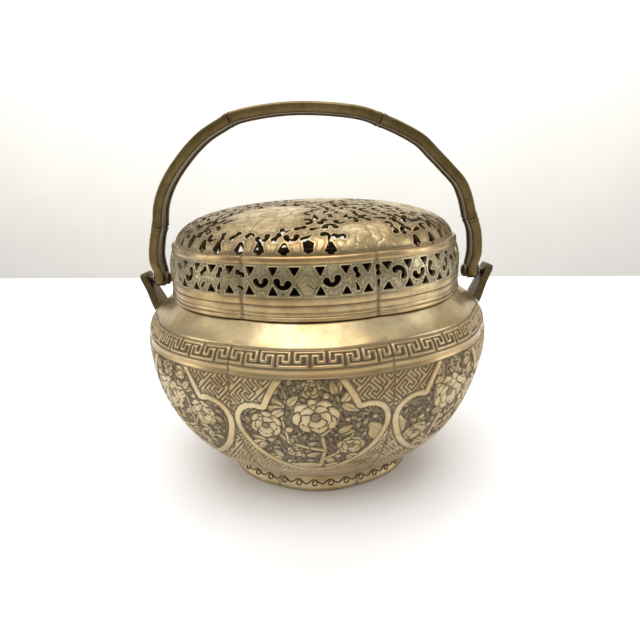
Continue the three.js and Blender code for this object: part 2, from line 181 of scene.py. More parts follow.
class Nodes:
    def __init__(self, name):
        self.material = bpy.data.materials.new(name)
        self.material.use_nodes = True
        self.tree = self.material.node_tree
        self.tree.nodes.clear()
        self.shader = self.add("ShaderNodeBsdfPrincipled")
        out = self.add("ShaderNodeOutputMaterial")
        self.link(self.shader.outputs[0], out.inputs["Surface"])
        self.place = self.add("ShaderNodeTexCoord").outputs["Object"]

    def add(self, kind, **values):
        node = self.tree.nodes.new(kind)
        for key, value in values.items():
            setattr(node, key, value)
        return node

    def link(self, source, target):
        self.tree.links.new(source, target)

    def feed(self, socket, value):
        if isinstance(value, bpy.types.NodeSocket):
            self.link(value, socket)
        elif value is not None:
            socket.default_value = value

    def math(self, kind, a, b=None, clamp=False):
        node = self.add("ShaderNodeMath", operation=kind, use_clamp=clamp)
        for socket, value in zip(node.inputs, (a, b)):
            self.feed(socket, value)
        return node.outputs[0]

    def ramp(self, value, low, high, start=0.0, end=1.0):
        node = self.add("ShaderNodeMapRange", clamp=True, interpolation_type="SMOOTHSTEP")
        for socket, number in zip(node.inputs, (value, low, high, start, end)):
            self.feed(socket, number)
        return node.outputs[0]

    def stretched(self, x, y, z):
        node = self.add("ShaderNodeMapping")
        self.link(self.place, node.inputs["Vector"])
        node.inputs["Scale"].default_value = (x, y, z)
        return node.outputs[0]

    def noise(self, size, detail=4.0, roughness=0.55, vector=None, distortion=0.0):
        node = self.add("ShaderNodeTexNoise")
        self.link(self.place if vector is None else vector, node.inputs["Vector"])
        node.inputs["Scale"].default_value = 1 / (size * toMetres)
        node.inputs["Detail"].default_value = detail
        node.inputs["Roughness"].default_value = roughness
        node.inputs["Distortion"].default_value = distortion
        return node.outputs["Fac"]

    def layer(self, name):
        return self.add("ShaderNodeAttribute", attribute_name=name).outputs["Fac"]

    def mix(self, factor, a, b):
        node = self.add("ShaderNodeMix", data_type="RGBA")
        for socket, value in ((node.inputs[0], factor), (node.inputs[6], a), (node.inputs[7], b)):
            if isinstance(value, tuple):
                value = (*value, 1.0)
            self.feed(socket, value)
        return node.outputs[2]

    def bump(self, height, depth, strength=1.0, normal=None):
        node = self.add("ShaderNodeBump")
        node.inputs["Distance"].default_value = depth * toMetres
        node.inputs["Strength"].default_value = strength
        self.link(height, node.inputs["Height"])
        if normal is not None:
            self.link(normal, node.inputs["Normal"])
        return node.outputs["Normal"]


brassLook = {
    "pale": (0.68, 0.56, 0.34), "warm": (0.55, 0.39, 0.19), "tarnish": (0.22, 0.15, 0.065),
    "oxideAndShade": (0.036, 0.026, 0.013), "roughness": 0.27, "scratch": 0.012,
}


def brassMaterial(name, look, tarnish=0.35, lines=(), grime=0.0, zone=None):
    # Worn brass: pale rubbed metal, warmer patches, brown tarnish, a painted dark reflection over a band of
    # heights where a zone is given, and dark oxide with painted shade on creases and lug faces where a layer
    # says so
    n = Nodes(name)
    patches = n.noise(26, 5, 0.6, distortion=0.6)
    mottle = n.noise(5, 6, 0.65)
    colour = n.mix(n.ramp(patches, 0.35, 0.7), look["pale"], look["warm"])
    stain = n.math("MULTIPLY", n.ramp(mottle, 0.42, 0.72), tarnish)
    stain = n.math("ADD", stain, n.math("MULTIPLY", n.ramp(n.noise(60, 3), 0.45, 0.75), tarnish), clamp=True)
    colour = n.mix(stain, colour, look["tarnish"])
    # Painted dark reflection: a brown band over the heights where upright faces would mirror the dim room in
    # front
    if zone:
        split = n.add("ShaderNodeSeparateXYZ")
        n.link(n.place, split.inputs[0])
        rise = n.math("ADD", split.outputs[2], n.math("MULTIPLY", n.math("SUBTRACT", patches, 0.5), 0.016))
        low, full, end, clear = (value * toMetres for value in zone["heights"])
        reflectionShare = n.math("MULTIPLY", n.ramp(rise, low, full), n.ramp(rise, end, clear, 1.0, 0.0))
        colour = n.mix(n.math("MULTIPLY", reflectionShare, zone["share"]), colour, zone["colour"])
    # The layer holds oxide in the hollows and also painted shade along the creases and on the lugs' inner
    # faces
    dark = n.layer("oxideAndShade")
    for line in lines:
        dark = n.math("MAXIMUM", dark, line(n))
    speck = n.ramp(n.noise(1.1, 3, 0.7), 0.66, 0.78)
    specks = n.math("MULTIPLY", speck, 0.25 + grime)
    dark = n.math("MAXIMUM", dark, specks)
    wornAndShaded = n.math("MULTIPLY", dark, n.ramp(n.noise(2.2, 4, 0.6), 0.2, 0.45, 0.8, 1.0))
    colour = n.mix(wornAndShaded, colour, look["oxideAndShade"])
    n.link(colour, n.shader.inputs["Base Color"])
    n.link(n.ramp(wornAndShaded, 0.2, 0.95, 1.0, 0.35), n.shader.inputs["Metallic"])
    rough = n.math("ADD", look["roughness"] - 0.07, n.math("MULTIPLY", mottle, 0.18))
    rough = n.math("ADD", rough, n.math("MULTIPLY", wornAndShaded, 0.35), clamp=True)
    n.link(rough, n.shader.inputs["Roughness"])
    hair = n.noise(1.2, 4, 0.7, n.stretched(0.25, 0.25, 3.0))
    pits = n.noise(0.8, 3, 0.7)
    grain = n.math("ADD", hair, n.math("MULTIPLY", pits, 0.6))
    normal = n.bump(grain, look["scratch"], 0.6)
    normal = n.bump(n.noise(9, 2, 0.5), 0.12, 0.5, normal)
    n.link(normal, n.shader.inputs["Normal"])
    return n.material


def lineLayer(name, middle, halfWidth):
    # Dark incised line where the distance layer passes the given value
    def build(n):
        off = n.math("ABSOLUTE", n.math("SUBTRACT", n.layer(name), middle))
        return n.ramp(off, halfWidth * 0.45, halfWidth * 1.3, 0.9, 0.0)
    return build


# Painted dark reflection in a brown band round the upper belly and key band
paintedReflectionBand = {"heights": (54, 66, 77, 81), "share": 0.62, "colour": (0.4, 0.27, 0.12)}
bodyBrass = brassMaterial("bodyBrass", brassLook, tarnish=0.3, zone=paintedReflectionBand)
plainBrass = brassMaterial("plainBrass", brassLook, tarnish=0.3)
lidLook = dict(
    brassLook, pale=(0.62, 0.49, 0.28), warm=(0.46, 0.32, 0.15), tarnish=(0.2, 0.13, 0.055), roughness=0.3
)
rimLook = dict(lidLook, pale=(0.56, 0.42, 0.23), warm=(0.4, 0.27, 0.12), tarnish=(0.18, 0.11, 0.045))
rimBrass = brassMaterial("rimBrass", rimLook, tarnish=0.35)
handleLook = dict(
    brassLook, pale=(0.2, 0.145, 0.06), warm=(0.14, 0.095, 0.035), tarnish=(0.05, 0.036, 0.014), roughness=0.3
)
handleBrass = brassMaterial("handleBrass", handleLook, tarnish=0.4, grime=0.1)
lugLook = dict(
    brassLook, pale=(0.13, 0.09, 0.045), warm=(0.09, 0.065, 0.035), tarnish=(0.035, 0.03, 0.018),
    roughness=0.38
)
lugBrass = brassMaterial("lugBrass", lugLook, tarnish=0.5, grime=0.15)


# Engraved ground of one bowl lobe

def segmentDistance(u, s, a, b):
    a, b = np.array(a, float), np.array(b, float)
    run = b - a
    t = np.clip(((u - a[0]) * run[0] + (s - a[1]) * run[1]) / max(run @ run, 1e-9), 0, 1)
    return np.hypot(u - a[0] - t * run[0], s - a[1] - t * run[1]), t


def polygonDistance(u, s, points):
    # Distance inside a closed outline, negative outside it
    inside = np.zeros(u.shape, bool)
    nearest = np.full(u.shape, 1e9)
    for a, b in zip(points, np.roll(points, -1, axis=0)):
        nearest = np.minimum(nearest, segmentDistance(u, s, a, b)[0])
        crosses = (a[1] > s) != (b[1] > s)
        rise = b[1] - a[1] if abs(b[1] - a[1]) > 1e-9 else 1e-9
        inside ^= crosses & (u < (b[0] - a[0]) * (s - a[1]) / rise + a[0])
    return np.where(inside, nearest, -nearest)


class Relief:
    # Height and oxide over a grid, worked on by overlapping chased shapes

    def __init__(self, u, s):
        self.u, self.s = u, s
        self.height = np.zeros(u.shape)
        self.oxideAndShade = np.zeros(u.shape)
        self.within = np.ones(u.shape, bool)

    def window(self, cu, cs, reach):
        rows = np.nonzero(np.abs(self.s[:, 0] - cs) < reach)[0]
        if len(rows) == 0:
            return None
        band = self.u[rows[0]:rows[-1] + 1]
        cols = np.nonzero((np.abs(band - cu) < reach).any(axis=0))[0]
        if len(cols) == 0:
            return None
        return slice(rows[0], rows[-1] + 1), slice(cols[0], cols[-1] + 1)

    def press(self, spot, inside, height, oxideAndShade, edge=0.42, depth=-0.42, edgeOxide=0.95):
        # Lays a shape over what is there and cuts a dark line round it
        allowed = self.within[spot]
        h, o = self.height[spot], self.oxideAndShade[spot]
        cover = smoothStep(inside, -0.05, 0.3)
        ring = smoothStep(inside, -edge - 0.25, -edge * 0.4) * (1 - cover)
        newH = h + (np.minimum(h, depth) - h) * ring
        newO = np.maximum(o, edgeOxide * ring)
        newH = newH * (1 - cover) + height * cover
        newO = newO * (1 - cover) + np.clip(oxideAndShade, 0, 1) * cover
        self.height[spot] = np.where(allowed, newH, h)
        self.oxideAndShade[spot] = np.where(allowed, newO, o)

    def leaf(self, base, tip, width, kind="leaf", level=0.05):
        base, tip = np.array(base, float), np.array(tip, float)
        run = tip - base
        length = np.linalg.norm(run)
        spot = self.window(*(base + tip) / 2, length / 2 + width)
        if spot is None or length < 0.3:
            return
        du, ds = self.u[spot] - base[0], self.s[spot] - base[1]
        a = (du * run[0] + ds * run[1]) / length
        b = (-du * run[1] + ds * run[0]) / length
        t = np.clip(a / length, 0, 1)
        if kind == "petal":
            shape = np.where(
                t > 0.58,
                np.sqrt(np.clip(1 - ((t - 0.58) / 0.42) ** 2, 0, 1)),
                0.42 + 0.58 * np.sin(math.pi / 2 * t / 0.58),
            )
            shape = shape * (1 + 0.05 * np.sin(t * 9 + b))
        elif kind == "blade":
            shape = np.sin(math.pi * np.clip(t, 0.02, 1) ** 0.75)
        else:
            shape = np.sin(math.pi * np.clip(t, 0.03, 1) ** 0.7) ** 0.85
            shape = shape * (1 + 0.13 * np.abs(np.sin(t * math.pi * 3.2)) - 0.08)
        half = np.maximum(width / 2 * shape, 0.02)
        inside = np.minimum((half - np.abs(b)) * 0.9, np.minimum(a, length - a) + 0.25)
        across = np.clip(np.abs(b) / np.maximum(half, 0.3), 0, 1)
        dome = np.sqrt(1 - across**2 * 0.9)
        if kind == "petal":
            height = level - 0.2 + 0.3 * dome * (0.35 + 0.65 * t)
            lines = np.cos(
                b * 2 * math.pi / 0.95 * (1.15 - 0.35 * t)
            ) * smoothStep(t, 0.0, 0.25) * (1 - smoothStep(t, 0.45, 0.75))
            oxideAndShade = 0.1 + 0.28 * np.clip(lines, 0, 1) + 0.3 * (1 - smoothStep(t, 0.0, 0.3))
        else:
            height = level - 0.15 + 0.24 * dome
            rib = smoothStep(np.abs(b), 0.34, 0.08) * smoothStep(1 - t, 0.03, 0.25)
            veins = smoothStep(np.abs(np.mod(a * 0.9 - np.abs(b) * 0.8, 1.15) - 0.57), 0.2, 0.05)
            if kind == "blade":
                veins = veins * 0
            height = height - 0.16 * rib - 0.04 * veins
            oxideAndShade = 0.1 + 0.5 * rib + 0.22 * veins * (across < 0.85)
        self.press(spot, inside, height, oxideAndShade)

    def disc(self, centre, radius, level=0.08, oxideAndShade=0.1, dots=False):
        spot = self.window(*centre, radius + 1.2)
        if spot is None:
            return
        du, ds = self.u[spot] - centre[0], self.s[spot] - centre[1]
        away = np.hypot(du, ds)
        height = level - 0.25 + 0.3 * np.sqrt(np.clip(1 - (away / radius) ** 2 * 0.9, 0, 1))
        shade = np.full(away.shape, oxideAndShade)
        if dots:
            grid = np.sin(du * 2 * math.pi / 0.85) * np.sin(ds * 2 * math.pi / 0.85)
            shade = shade + 0.75 * smoothStep(grid, 0.35, -0.2)
            height = height + 0.14 * smoothStep(grid, 0, 0.6) - 0.1
        self.press(spot, radius - away, height, shade)

    def branch(self, points, start, end, level=0.02):
        points = [np.array(p, float) for p in points]
        count = len(points) - 1
        for k in range(count):
            a, b = points[k], points[k + 1]
            spot = self.window(*(a + b) / 2, np.linalg.norm(b - a) / 2 + start + 1.2)
            if spot is None:
                continue
            away, t = segmentDistance(self.u[spot], self.s[spot], a, b)
            half = (start + (end - start) * (k + t) / count) / 2
            height = level - 0.15 + 0.25 * np.sqrt(np.clip(1 - (away / half) ** 2 * 0.9, 0, 1))
            self.press(spot, half - away, height, np.full(away.shape, 0.12), edge=0.3)

    def rock(self, centre, across, up, turn=0.0, seed=1):
        spot = self.window(*centre, max(across, up) + 1.5)
        if spot is None:
            return
        du, ds = self.u[spot] - centre[0], self.s[spot] - centre[1]
        a = (du * math.cos(turn) + ds * math.sin(turn)) / across
        b = (-du * math.sin(turn) + ds * math.cos(turn)) / up
        angle = np.arctan2(b, a)
        away = np.hypot(a, b)
        edge = 1 + 0.12 * np.sin(3 * angle + seed) + 0.07 * np.sin(5 * angle + 2 * seed)
        inside = (edge - away) * min(across, up)
        lines = smoothStep(np.abs(np.mod(inside + 0.4 * np.sin(4 * angle + seed), 1.25) - 0.62), 0.2, 0.02)
        lines = lines * (inside > 0.7)
        height = -0.1 + 0.2 * smoothStep(inside, 0, 1.5) - 0.12 * lines
        self.press(spot, inside, height, 0.12 + 0.55 * lines)

    def flower(self, centre, radius, petals=7, turn=0.0, squash=1.0, inner=5, heart=0.2):
        centre = np.array(centre, float)
        for ring, (count, near, far, width) in enumerate((
            (petals, 0.18, 1.0, 0.92), (inner, 0.05, 0.66, 0.74)
        )):
            order = np.argsort([math.sin(turn + 2 * math.pi * k / count) for k in range(count)])[::-1]
            for k in order:
                angle = turn + ring * 0.5 + 2 * math.pi * k / count
                way = np.array([math.cos(angle), math.sin(angle) * squash])
                self.leaf(
                    centre + way * radius * near, centre + way * radius * far,
                    radius * width * (1.0 if ring else 1.02) * 2 * math.pi / count / 1.05, "petal",
                    0.02 + 0.08 * ring,
                )
        self.disc(centre, radius * heart, 0.12, 0.2, dots=True)

    def spray(self, base, turns, length, width, kind="leaf"):
        base = np.array(base, float)
        for turn in turns:
            way = np.array([math.cos(turn), math.sin(turn)])
            self.leaf(base + way * 0.3, base + way * length, width, kind)

    def filler(self, seed, spots=420):
        # Small leaves and buds wherever the chased ground would stay bare
        rng = np.random.default_rng(seed)
        rows, cols = np.nonzero(self.within & (self.height < -0.44))
        for _ in range(spots):
            if len(rows) == 0:
                return
            pick = rng.integers(len(rows))
            centre = np.array([self.u[rows[pick], cols[pick]], self.s[rows[pick], cols[pick]]])
            turn = rng.uniform(0, 2 * math.pi)
            kind = rng.choice(["leaf", "leaf", "blade", "bud", "trio"])
            length = rng.uniform(2.6, 4.6)
            way = np.array([math.cos(turn), math.sin(turn)])
            look = self.window(*centre, length * 0.62)
            if look is None or (self.height[look] > -0.4).mean() > 0.16:
                continue
            if kind == "bud":
                self.disc(centre, rng.uniform(0.9, 1.3))
            elif kind == "trio":
                self.spray(
                    centre - way * length * 0.4, (turn, turn + 0.75, turn - 0.75), length * 0.9, length * 0.4
                )
            else:
                self.leaf(
                    centre - way * length / 2, centre + way * length / 2,
                    length * (0.5 if kind == "leaf" else 0.24), kind
                )


keyBand = {"low": 72.1, "high": 78.5, "perLobe": 5, "halfLine": 0.36, "plainLow": 69.0}
keyPath = (
    ((0, 1), (0.836, 1)), ((0, 1), (0, 0.32)), ((0, 0.32), (0.164, 0.32)), ((0.164, 0.32), (0.164, 0.76)),
    ((0.164, 0.76), (0.355, 0.76)), ((0.355, 0.76), (0.355, 0)), ((0.836, 1), (0.836, 0.32)),
    ((0.836, 0.32), (0.655, 0.32)), ((0.655, 0.32), (0.655, 0.76)), ((0.655, 0.76), (0.509, 0.76)),
    ((0.509, 0.76), (0.509, 0)), ((0.509, 0), (1.355, 0)),
)
latticeTile = (
    "############",
    "............",
    "#########.##",
    "#.......#.#.",
    "#.#####.#.#.",
    "#.#.....#.#.",
    "#.#.#####.#.",
    "#.#.#...#.#.",
    "..#.#.#.#.#.",
    "###.#.#...#.",
    "....#.#####.",
    "#####.......",
)
# The shift keeps the fret's cell numbers above nought
lattice = {"cell": 0.7, "low": 21.0, "shift": 4000}
lobeGrid = {"columns": 184, "row": 0.34}
panelEdge = {
    "border": 2.0,
    "half": (
        (0, 71.9), (10.6, 71.9), (12.6, 69.0), (14.8, 65.8), (16.8, 62.2), (18.3, 58.6), (21.4, 59.1),
        (24.8, 58.5), (27.8, 56.7), (29.8, 53.9), (30.5, 50.8), (30.2, 47.6), (28.9, 44.3), (27.2, 41.1),
        (25, 37.7), (22.2, 34.6), (19, 31.7), (16.2, 29.6), (13.3, 27.7), (9.2, 25.4), (4.6, 23.8),
        (0, 23.3),
    ),
}


def latticeCover(u, s):
    # Share of each spot that a raised line of the diagonal fret covers
    tile = np.array([[c == "#" for c in row] for row in latticeTile])
    total = np.zeros(u.shape)
    for i in (-1, 0, 1):
        for j in (-1, 0, 1):
            uu, ss = u + i * lobeGrid["row"] / 3, s + j * lobeGrid["row"] / 3
            a = ((uu + ss) / math.sqrt(2) / lattice["cell"]).astype(int) % len(tile)
            b = ((uu - ss) / math.sqrt(2) / lattice["cell"] + lattice["shift"]).astype(int) % len(tile)
            total += tile[b, a]
    return total / 9


def panelOutline():
    right = [(u, float(bowlProfile.ofHeight(z))) for u, z in panelEdge["half"]]
    left = [(-u, s) for u, s in right[1:-1]][::-1]
    return np.array(right + left)


def chasePanel(relief, number):
    # Flowers, leaves, branches and rocks inside one cartouche
    flip = -1 if number % 2 else 1
    top = float(bowlProfile.ofHeight(65))
    rng = np.random.default_rng(40 + number)
    shift = 0 if number == 0 else rng.uniform(-2.5, 2.5)

    def at(u, s):
        return np.array([flip * (u + shift), top + s])

    relief.branch([at(2, -44), at(3, -36), at(4.5, -29), at(3.5, -20), at(1, -12)], 2.0, 1.2)
    relief.branch([at(3, -36), at(9, -31), at(13, -25), at(16, -19)], 1.6, 0.9)
    relief.branch([at(4.5, -29), at(-2, -27), at(-9, -24), at(-14, -17), at(-16, -11)], 1.5, 0.9)
    relief.branch([at(3.5, -20), at(9, -15), at(11, -7), at(9, -2), at(4, 1)], 1.2, 0.7)
    relief.branch([at(-9, -24), at(-11, -12), at(-9, -3), at(-11, 3)], 1.2, 0.7)
    relief.rock(at(-4, -41.5), 7.5, 3.2, 0.1, number + 1)
    relief.rock(at(8, -42), 4.5, 2.6, -0.2, number + 3)
    relief.rock(at(24.5, -21), 3.4, 5.0, 0.2, number + 2)
    relief.spray(at(-11.5, 0), (1.9, 2.6, 3.3), 6.3, 3.6)
    relief.spray(at(-10, -8), (2.3, 3.0, 3.7), 6.6, 3.4)
    relief.spray(at(-9, -6), (0.1, 0.7), 6.1, 3.1)
    relief.spray(at(11, -6), (0.25, 0.9, -0.5), 7.8, 3.6)
    relief.spray(at(9, -2), (1.2, 1.9), 5.6, 3.1)
    relief.spray(at(22, -12), (0.2, 0.7, 1.2, 1.7, 2.2, 2.8), 5.2, 1.3, "blade")
    relief.spray(at(-24, -11), (1.1, 1.7, 2.3, 0.5), 4.6, 1.3, "blade")
    relief.spray(at(-18, -25), (2.6, 3.3, 4.0), 6.6, 3.1)
    relief.spray(at(9.5, -19), (0.0, 0.5), 6.8, 3.1)
    relief.spray(at(-3, -33), (2.6, 0.4), 6.1, 2.9)
    relief.spray(at(12, -35), (0.2, -0.5), 6.6, 3.1)
    relief.spray(at(-12, -34), (2.9, 3.6, 2.2), 6.1, 2.8)
    relief.flower(at(0, 0.5), 3.6, 5, 0.3)
    relief.flower(at(-17.5, -15.5), 6.2, 6, 0.4 + number)
    relief.flower(at(14.5, -27), 5.6, 6, 0.9 + number, 0.85)
    relief.flower(at(-7, -29.5), 3.2, 5, 0.2)
    relief.flower(at(1.5, -11), 8.8, 8, 0.2 + 0.3 * number, 0.86, 6)
    relief.disc(at(-8.6, -17), 1.4)
    relief.disc(at(6.2, -36.5), 1.8)
    relief.filler(70 + number)


def chaseLobe(number, theta, s):
    radius, z = bowlProfile.at(s)
    u = theta * radius
    relief = Relief(u, s)
    lowS, highS = (float(bowlProfile.ofHeight(keyBand[k])) for k in ("low", "high"))
    plainS = float(bowlProfile.ofHeight(keyBand["plainLow"]))

    # Spandrel fret behind the cartouche
    inside = polygonDistance(u, s, panelOutline())
    edge = pitch / 2 * radius
    cover = latticeCover(u + 1.3 * number, s)
    fretZone = (s < plainS - 0.3) & (z > lattice["low"]) & (inside < -0.7)
    fretEdge = smoothStep(z, lattice["low"], lattice["low"] + 3.5)
    relief.height = np.where(fretZone, (-0.36 + 0.38 * cover) * fretEdge, 0.0)
    relief.oxideAndShade = np.where(fretZone, (0.86 - 0.78 * cover) * (0.3 + 0.7 * fretEdge), 0.0)
    gutter = smoothStep(inside, -1.0, -0.55) * smoothStep(inside, 0.05, -0.3) * (z > lattice["low"] - 1)
    relief.height -= 0.3 * gutter
    relief.oxideAndShade = np.maximum(relief.oxideAndShade, 0.9 * gutter)

    # Cartouche border and sunk ground
    band = smoothStep(inside, -0.3, 0.1)
    relief.height = relief.height * (1 - band) + 0.16 * band
    relief.oxideAndShade = relief.oxideAndShade * (1 - band) + 0.02 * band
    sunk = smoothStep(inside, panelEdge["border"], panelEdge["border"] + 0.45)
    stipple = fieldNoise(u, s, 1.5, 5) * 0.06
    relief.height = relief.height * (1 - sunk) + (-0.52 + stipple) * sunk
    relief.oxideAndShade = relief.oxideAndShade * (1 - sunk) + (0.8 + fieldNoise(u, s, 2.1, 8) * 0.3) * sunk
    relief.within = (inside > panelEdge["border"] + 0.1) & (s < plainS)
    chasePanel(relief, number)
    rim = smoothStep(np.abs(inside - panelEdge["border"] - 0.35), 0.38, 0.1)
    relief.oxideAndShade = np.maximum(relief.oxideAndShade, 0.85 * rim)

    # Plain hollow band and key band over it
    plain = smoothStep(s, plainS - 0.15, plainS + 0.15)
    t = np.clip((s - plainS) / (lowS - plainS), 0, 1)
    relief.height = relief.height * (1 - plain) + (-0.3 * np.sin(math.pi * t)) * plain
    relief.oxideAndShade = relief.oxideAndShade * (1 - plain) + 0.06 * plain
    for place, half, strength in (
        (plainS - 0.1, 0.22, 0.75), (lowS + 0.55, 0.42, 0.85), (highS + 0.25, 0.22, 0.85)
    ):
        groove = smoothStep(np.abs(s - place), half * 1.5, half * 0.5)
        relief.height -= 0.22 * groove
        relief.oxideAndShade = np.maximum(relief.oxideAndShade, strength * groove)
    keyLow, keyHigh = lowS + 1.35, highS - 0.75
    unit = 2 * edge / keyBand["perLobe"]
    first = -edge + 0.082 * unit
    nearest = np.full(u.shape, 1e9)
    rows = np.nonzero((s[:, 0] > lowS) & (s[:, 0] < highS))[0]
    zone = slice(rows[0], rows[-1] + 1)
    du = (u[zone] - first[zone]) / unit[zone]
    for k in range(-1, keyBand["perLobe"] + 1):
        for a, b in keyPath:
            lowU, highU = sorted((a[0] + k, b[0] + k))
            low, high = sorted(keyLow + (keyHigh - keyLow) * p[1] for p in (a, b))
            away = np.hypot(
                (du - np.clip(du, lowU, highU)) * unit[zone], s[zone] - np.clip(s[zone], low, high)
            )
            nearest[zone] = np.minimum(nearest[zone], away)
    zoneMask = smoothStep(s, lowS + 0.9, lowS + 1.05) * smoothStep(s, highS + 0.05, highS - 0.1)
    line = smoothStep(nearest, keyBand["halfLine"] + 0.2, keyBand["halfLine"] - 0.12)
    relief.height += zoneMask * (-0.36 + 0.42 * line)
    relief.oxideAndShade = np.maximum(relief.oxideAndShade * (1 - zoneMask), zoneMask * (0.92 - 0.88 * line))

    # Painted shade in a shallow groove along the crease between lobes, and the plain foot of the bowl
    crease = smoothStep(np.abs(np.abs(u) - edge), 0.75, 0.15)
    relief.height = relief.height * (1 - crease) - 0.2 * crease * (s < highS)
    relief.oxideAndShade = np.maximum(relief.oxideAndShade, crease * np.where(s < highS, 0.75, 0.0))
    for level in (19.4, 12.4):
        groove = smoothStep(np.abs(z - level), 0.28, 0.1)
        relief.height -= 0.12 * groove
        relief.oxideAndShade = np.maximum(relief.oxideAndShade, 0.7 * groove)
    return relief


hollow = {"width": 0.2, "rise": 0.168, "blend": 3.0}


def bowlLobe(number):
    columns = lobeGrid["columns"]
    fine = np.arange(0, float(bowlProfile.ofHeight(keyBand["high"])) + 0.9, lobeGrid["row"])
    plain = np.linspace(fine[-1], bowlProfile.length, 22)[1:]
    rows = np.concatenate([fine, plain])
    local = np.linspace(-pitch / 2, pitch / 2, columns + 1)
    theta, s = np.meshgrid(local, rows)
    relief = chaseLobe(number, theta, s)
    lift = relief.height * smoothStep(s, 0, 1.5)
    r, z = bowlProfile.at(s, lift)
    outer = roundAxis(r, theta + number * pitch, z, bodyCrease)
    # The creases open into soft hollows on the plain shoulder
    across = np.abs(theta) / (pitch / 2)
    soft = smoothStep(s, fine[-1] - 0.6, fine[-1] + hollow["blend"])
    drawn = across ** lobeFullness
    edge, width = 1 - hollow["width"], hollow["width"]
    rounded = edge ** lobeFullness + hollow["rise"] * (1 - ((1 - across) / width) ** 2)
    gap = drawn - np.where(across > edge, rounded, drawn)
    outer[..., :2] *= (1 + bodyCrease * soft * gap)[..., None]
    # Inside wall, from the mouth down to the floor
    floor = foot["height"] + bowl["wall"]
    steps = np.linspace(bowlProfile.length, 0, 26)
    inR, inZ = bowlProfile.at(steps, -bowl["wall"])
    lipHeight = bowl["seatHeight"] - bowl["lip"]
    keep = (inZ < lipHeight - 0.2) & (inZ > floor + 0.1)
    section = [(bowl["mouth"], bowl["seatHeight"]), (bowl["mouth"], lipHeight)]
    section += list(zip(inR[keep], inZ[keep])) + [(foot["top"], floor), (44.2, floor), (44.2, foot["height"])]
    section = np.array(section)
    inTheta, inR = np.meshgrid(local, section[:, 0])
    _, inZ = np.meshgrid(local, section[:, 1])
    inner = roundAxis(inR, inTheta + number * pitch, inZ, bodyCrease)
    grid = np.concatenate([outer, inner])
    count, width = grid.shape[0], columns + 1
    index = np.arange(count * width).reshape(count, width)
    nextRow = np.roll(index, -1, axis=0)
    quads = np.stack([index[:, :-1], index[:, 1:], nextRow[:, 1:], nextRow[:, :-1]], -1).reshape(-1, 4)
    ends = [list(index[:, 0]), list(index[::-1, -1])]
    oxideAndShade = np.concatenate([relief.oxideAndShade, np.full(inner.shape[:2], 0.55)])
    oxideAndShade[len(rows):len(rows) + 1] = 0.2
    piece = meshPiece(
        f"bowlLobe{number + 1}", grid.reshape(-1, 3), quads, others=ends, layers={"oxideAndShade": oxideAndShade}, sharp=60
    )
    return finishPiece(piece, bodyBrass, "bowl", "bowl_wall", slot="body_brass")


for number in range(lobes):
    bowlLobe(number)
print("bowl lobes made")


def turnedDisc(name, radius, low, high, rings=40, columns=96, share=bodyCrease):
    # Closed round plate, drawn in at the creases towards its edge
    radii = np.linspace(0, radius, rings + 1)[1:]
    theta = np.linspace(0, 2 * math.pi, columns, endpoint=False)
    shares = share * np.clip(radii / radius, 0, 1) ** 2
    verts, quads, tris = [], [], []
    for level in (low, high):
        for r, c in zip(radii, shares):
            verts.append(roundAxis(np.full(columns, r), theta, np.full(columns, level), c))
    verts = np.concatenate(verts + [np.array([[0, 0, low], [0, 0, high]])])
    index = np.arange(2 * rings * columns).reshape(2, rings, columns)
    turned = np.roll(index, -1, axis=2)
    quads.append(
        np.stack([index[0, :-1], index[0, 1:], turned[0, 1:], turned[0, :-1]], -1).reshape(-1, 4)[:, ::-1]
    )
    quads.append(np.stack([index[1, :-1], index[1, 1:], turned[1, 1:], turned[1, :-1]], -1).reshape(-1, 4))
    quads.append(np.stack([index[0, -1], turned[0, -1], turned[1, -1], index[1, -1]], -1))
    lowPole, highPole = 2 * rings * columns, 2 * rings * columns + 1
    tris.append(np.stack([np.full(columns, lowPole), turned[0, 0], index[0, 0]], -1))
    tris.append(np.stack([np.full(columns, highPole), index[1, 0], turned[1, 0]], -1))
    layers = {"oxideAndShade": np.full(len(verts), 0.4)}
    return meshPiece(name, verts, np.concatenate(quads), np.concatenate(tris), layers=layers, sharp=35)


floorPiece = turnedDisc("bowlFloor", 44.1, foot["height"], foot["height"] + bowl["wall"])
finishPiece(floorPiece, plainBrass, "bowl", "bowl_wall", slot="body_brass")
print("bowl floor made")

# Geometry node trees

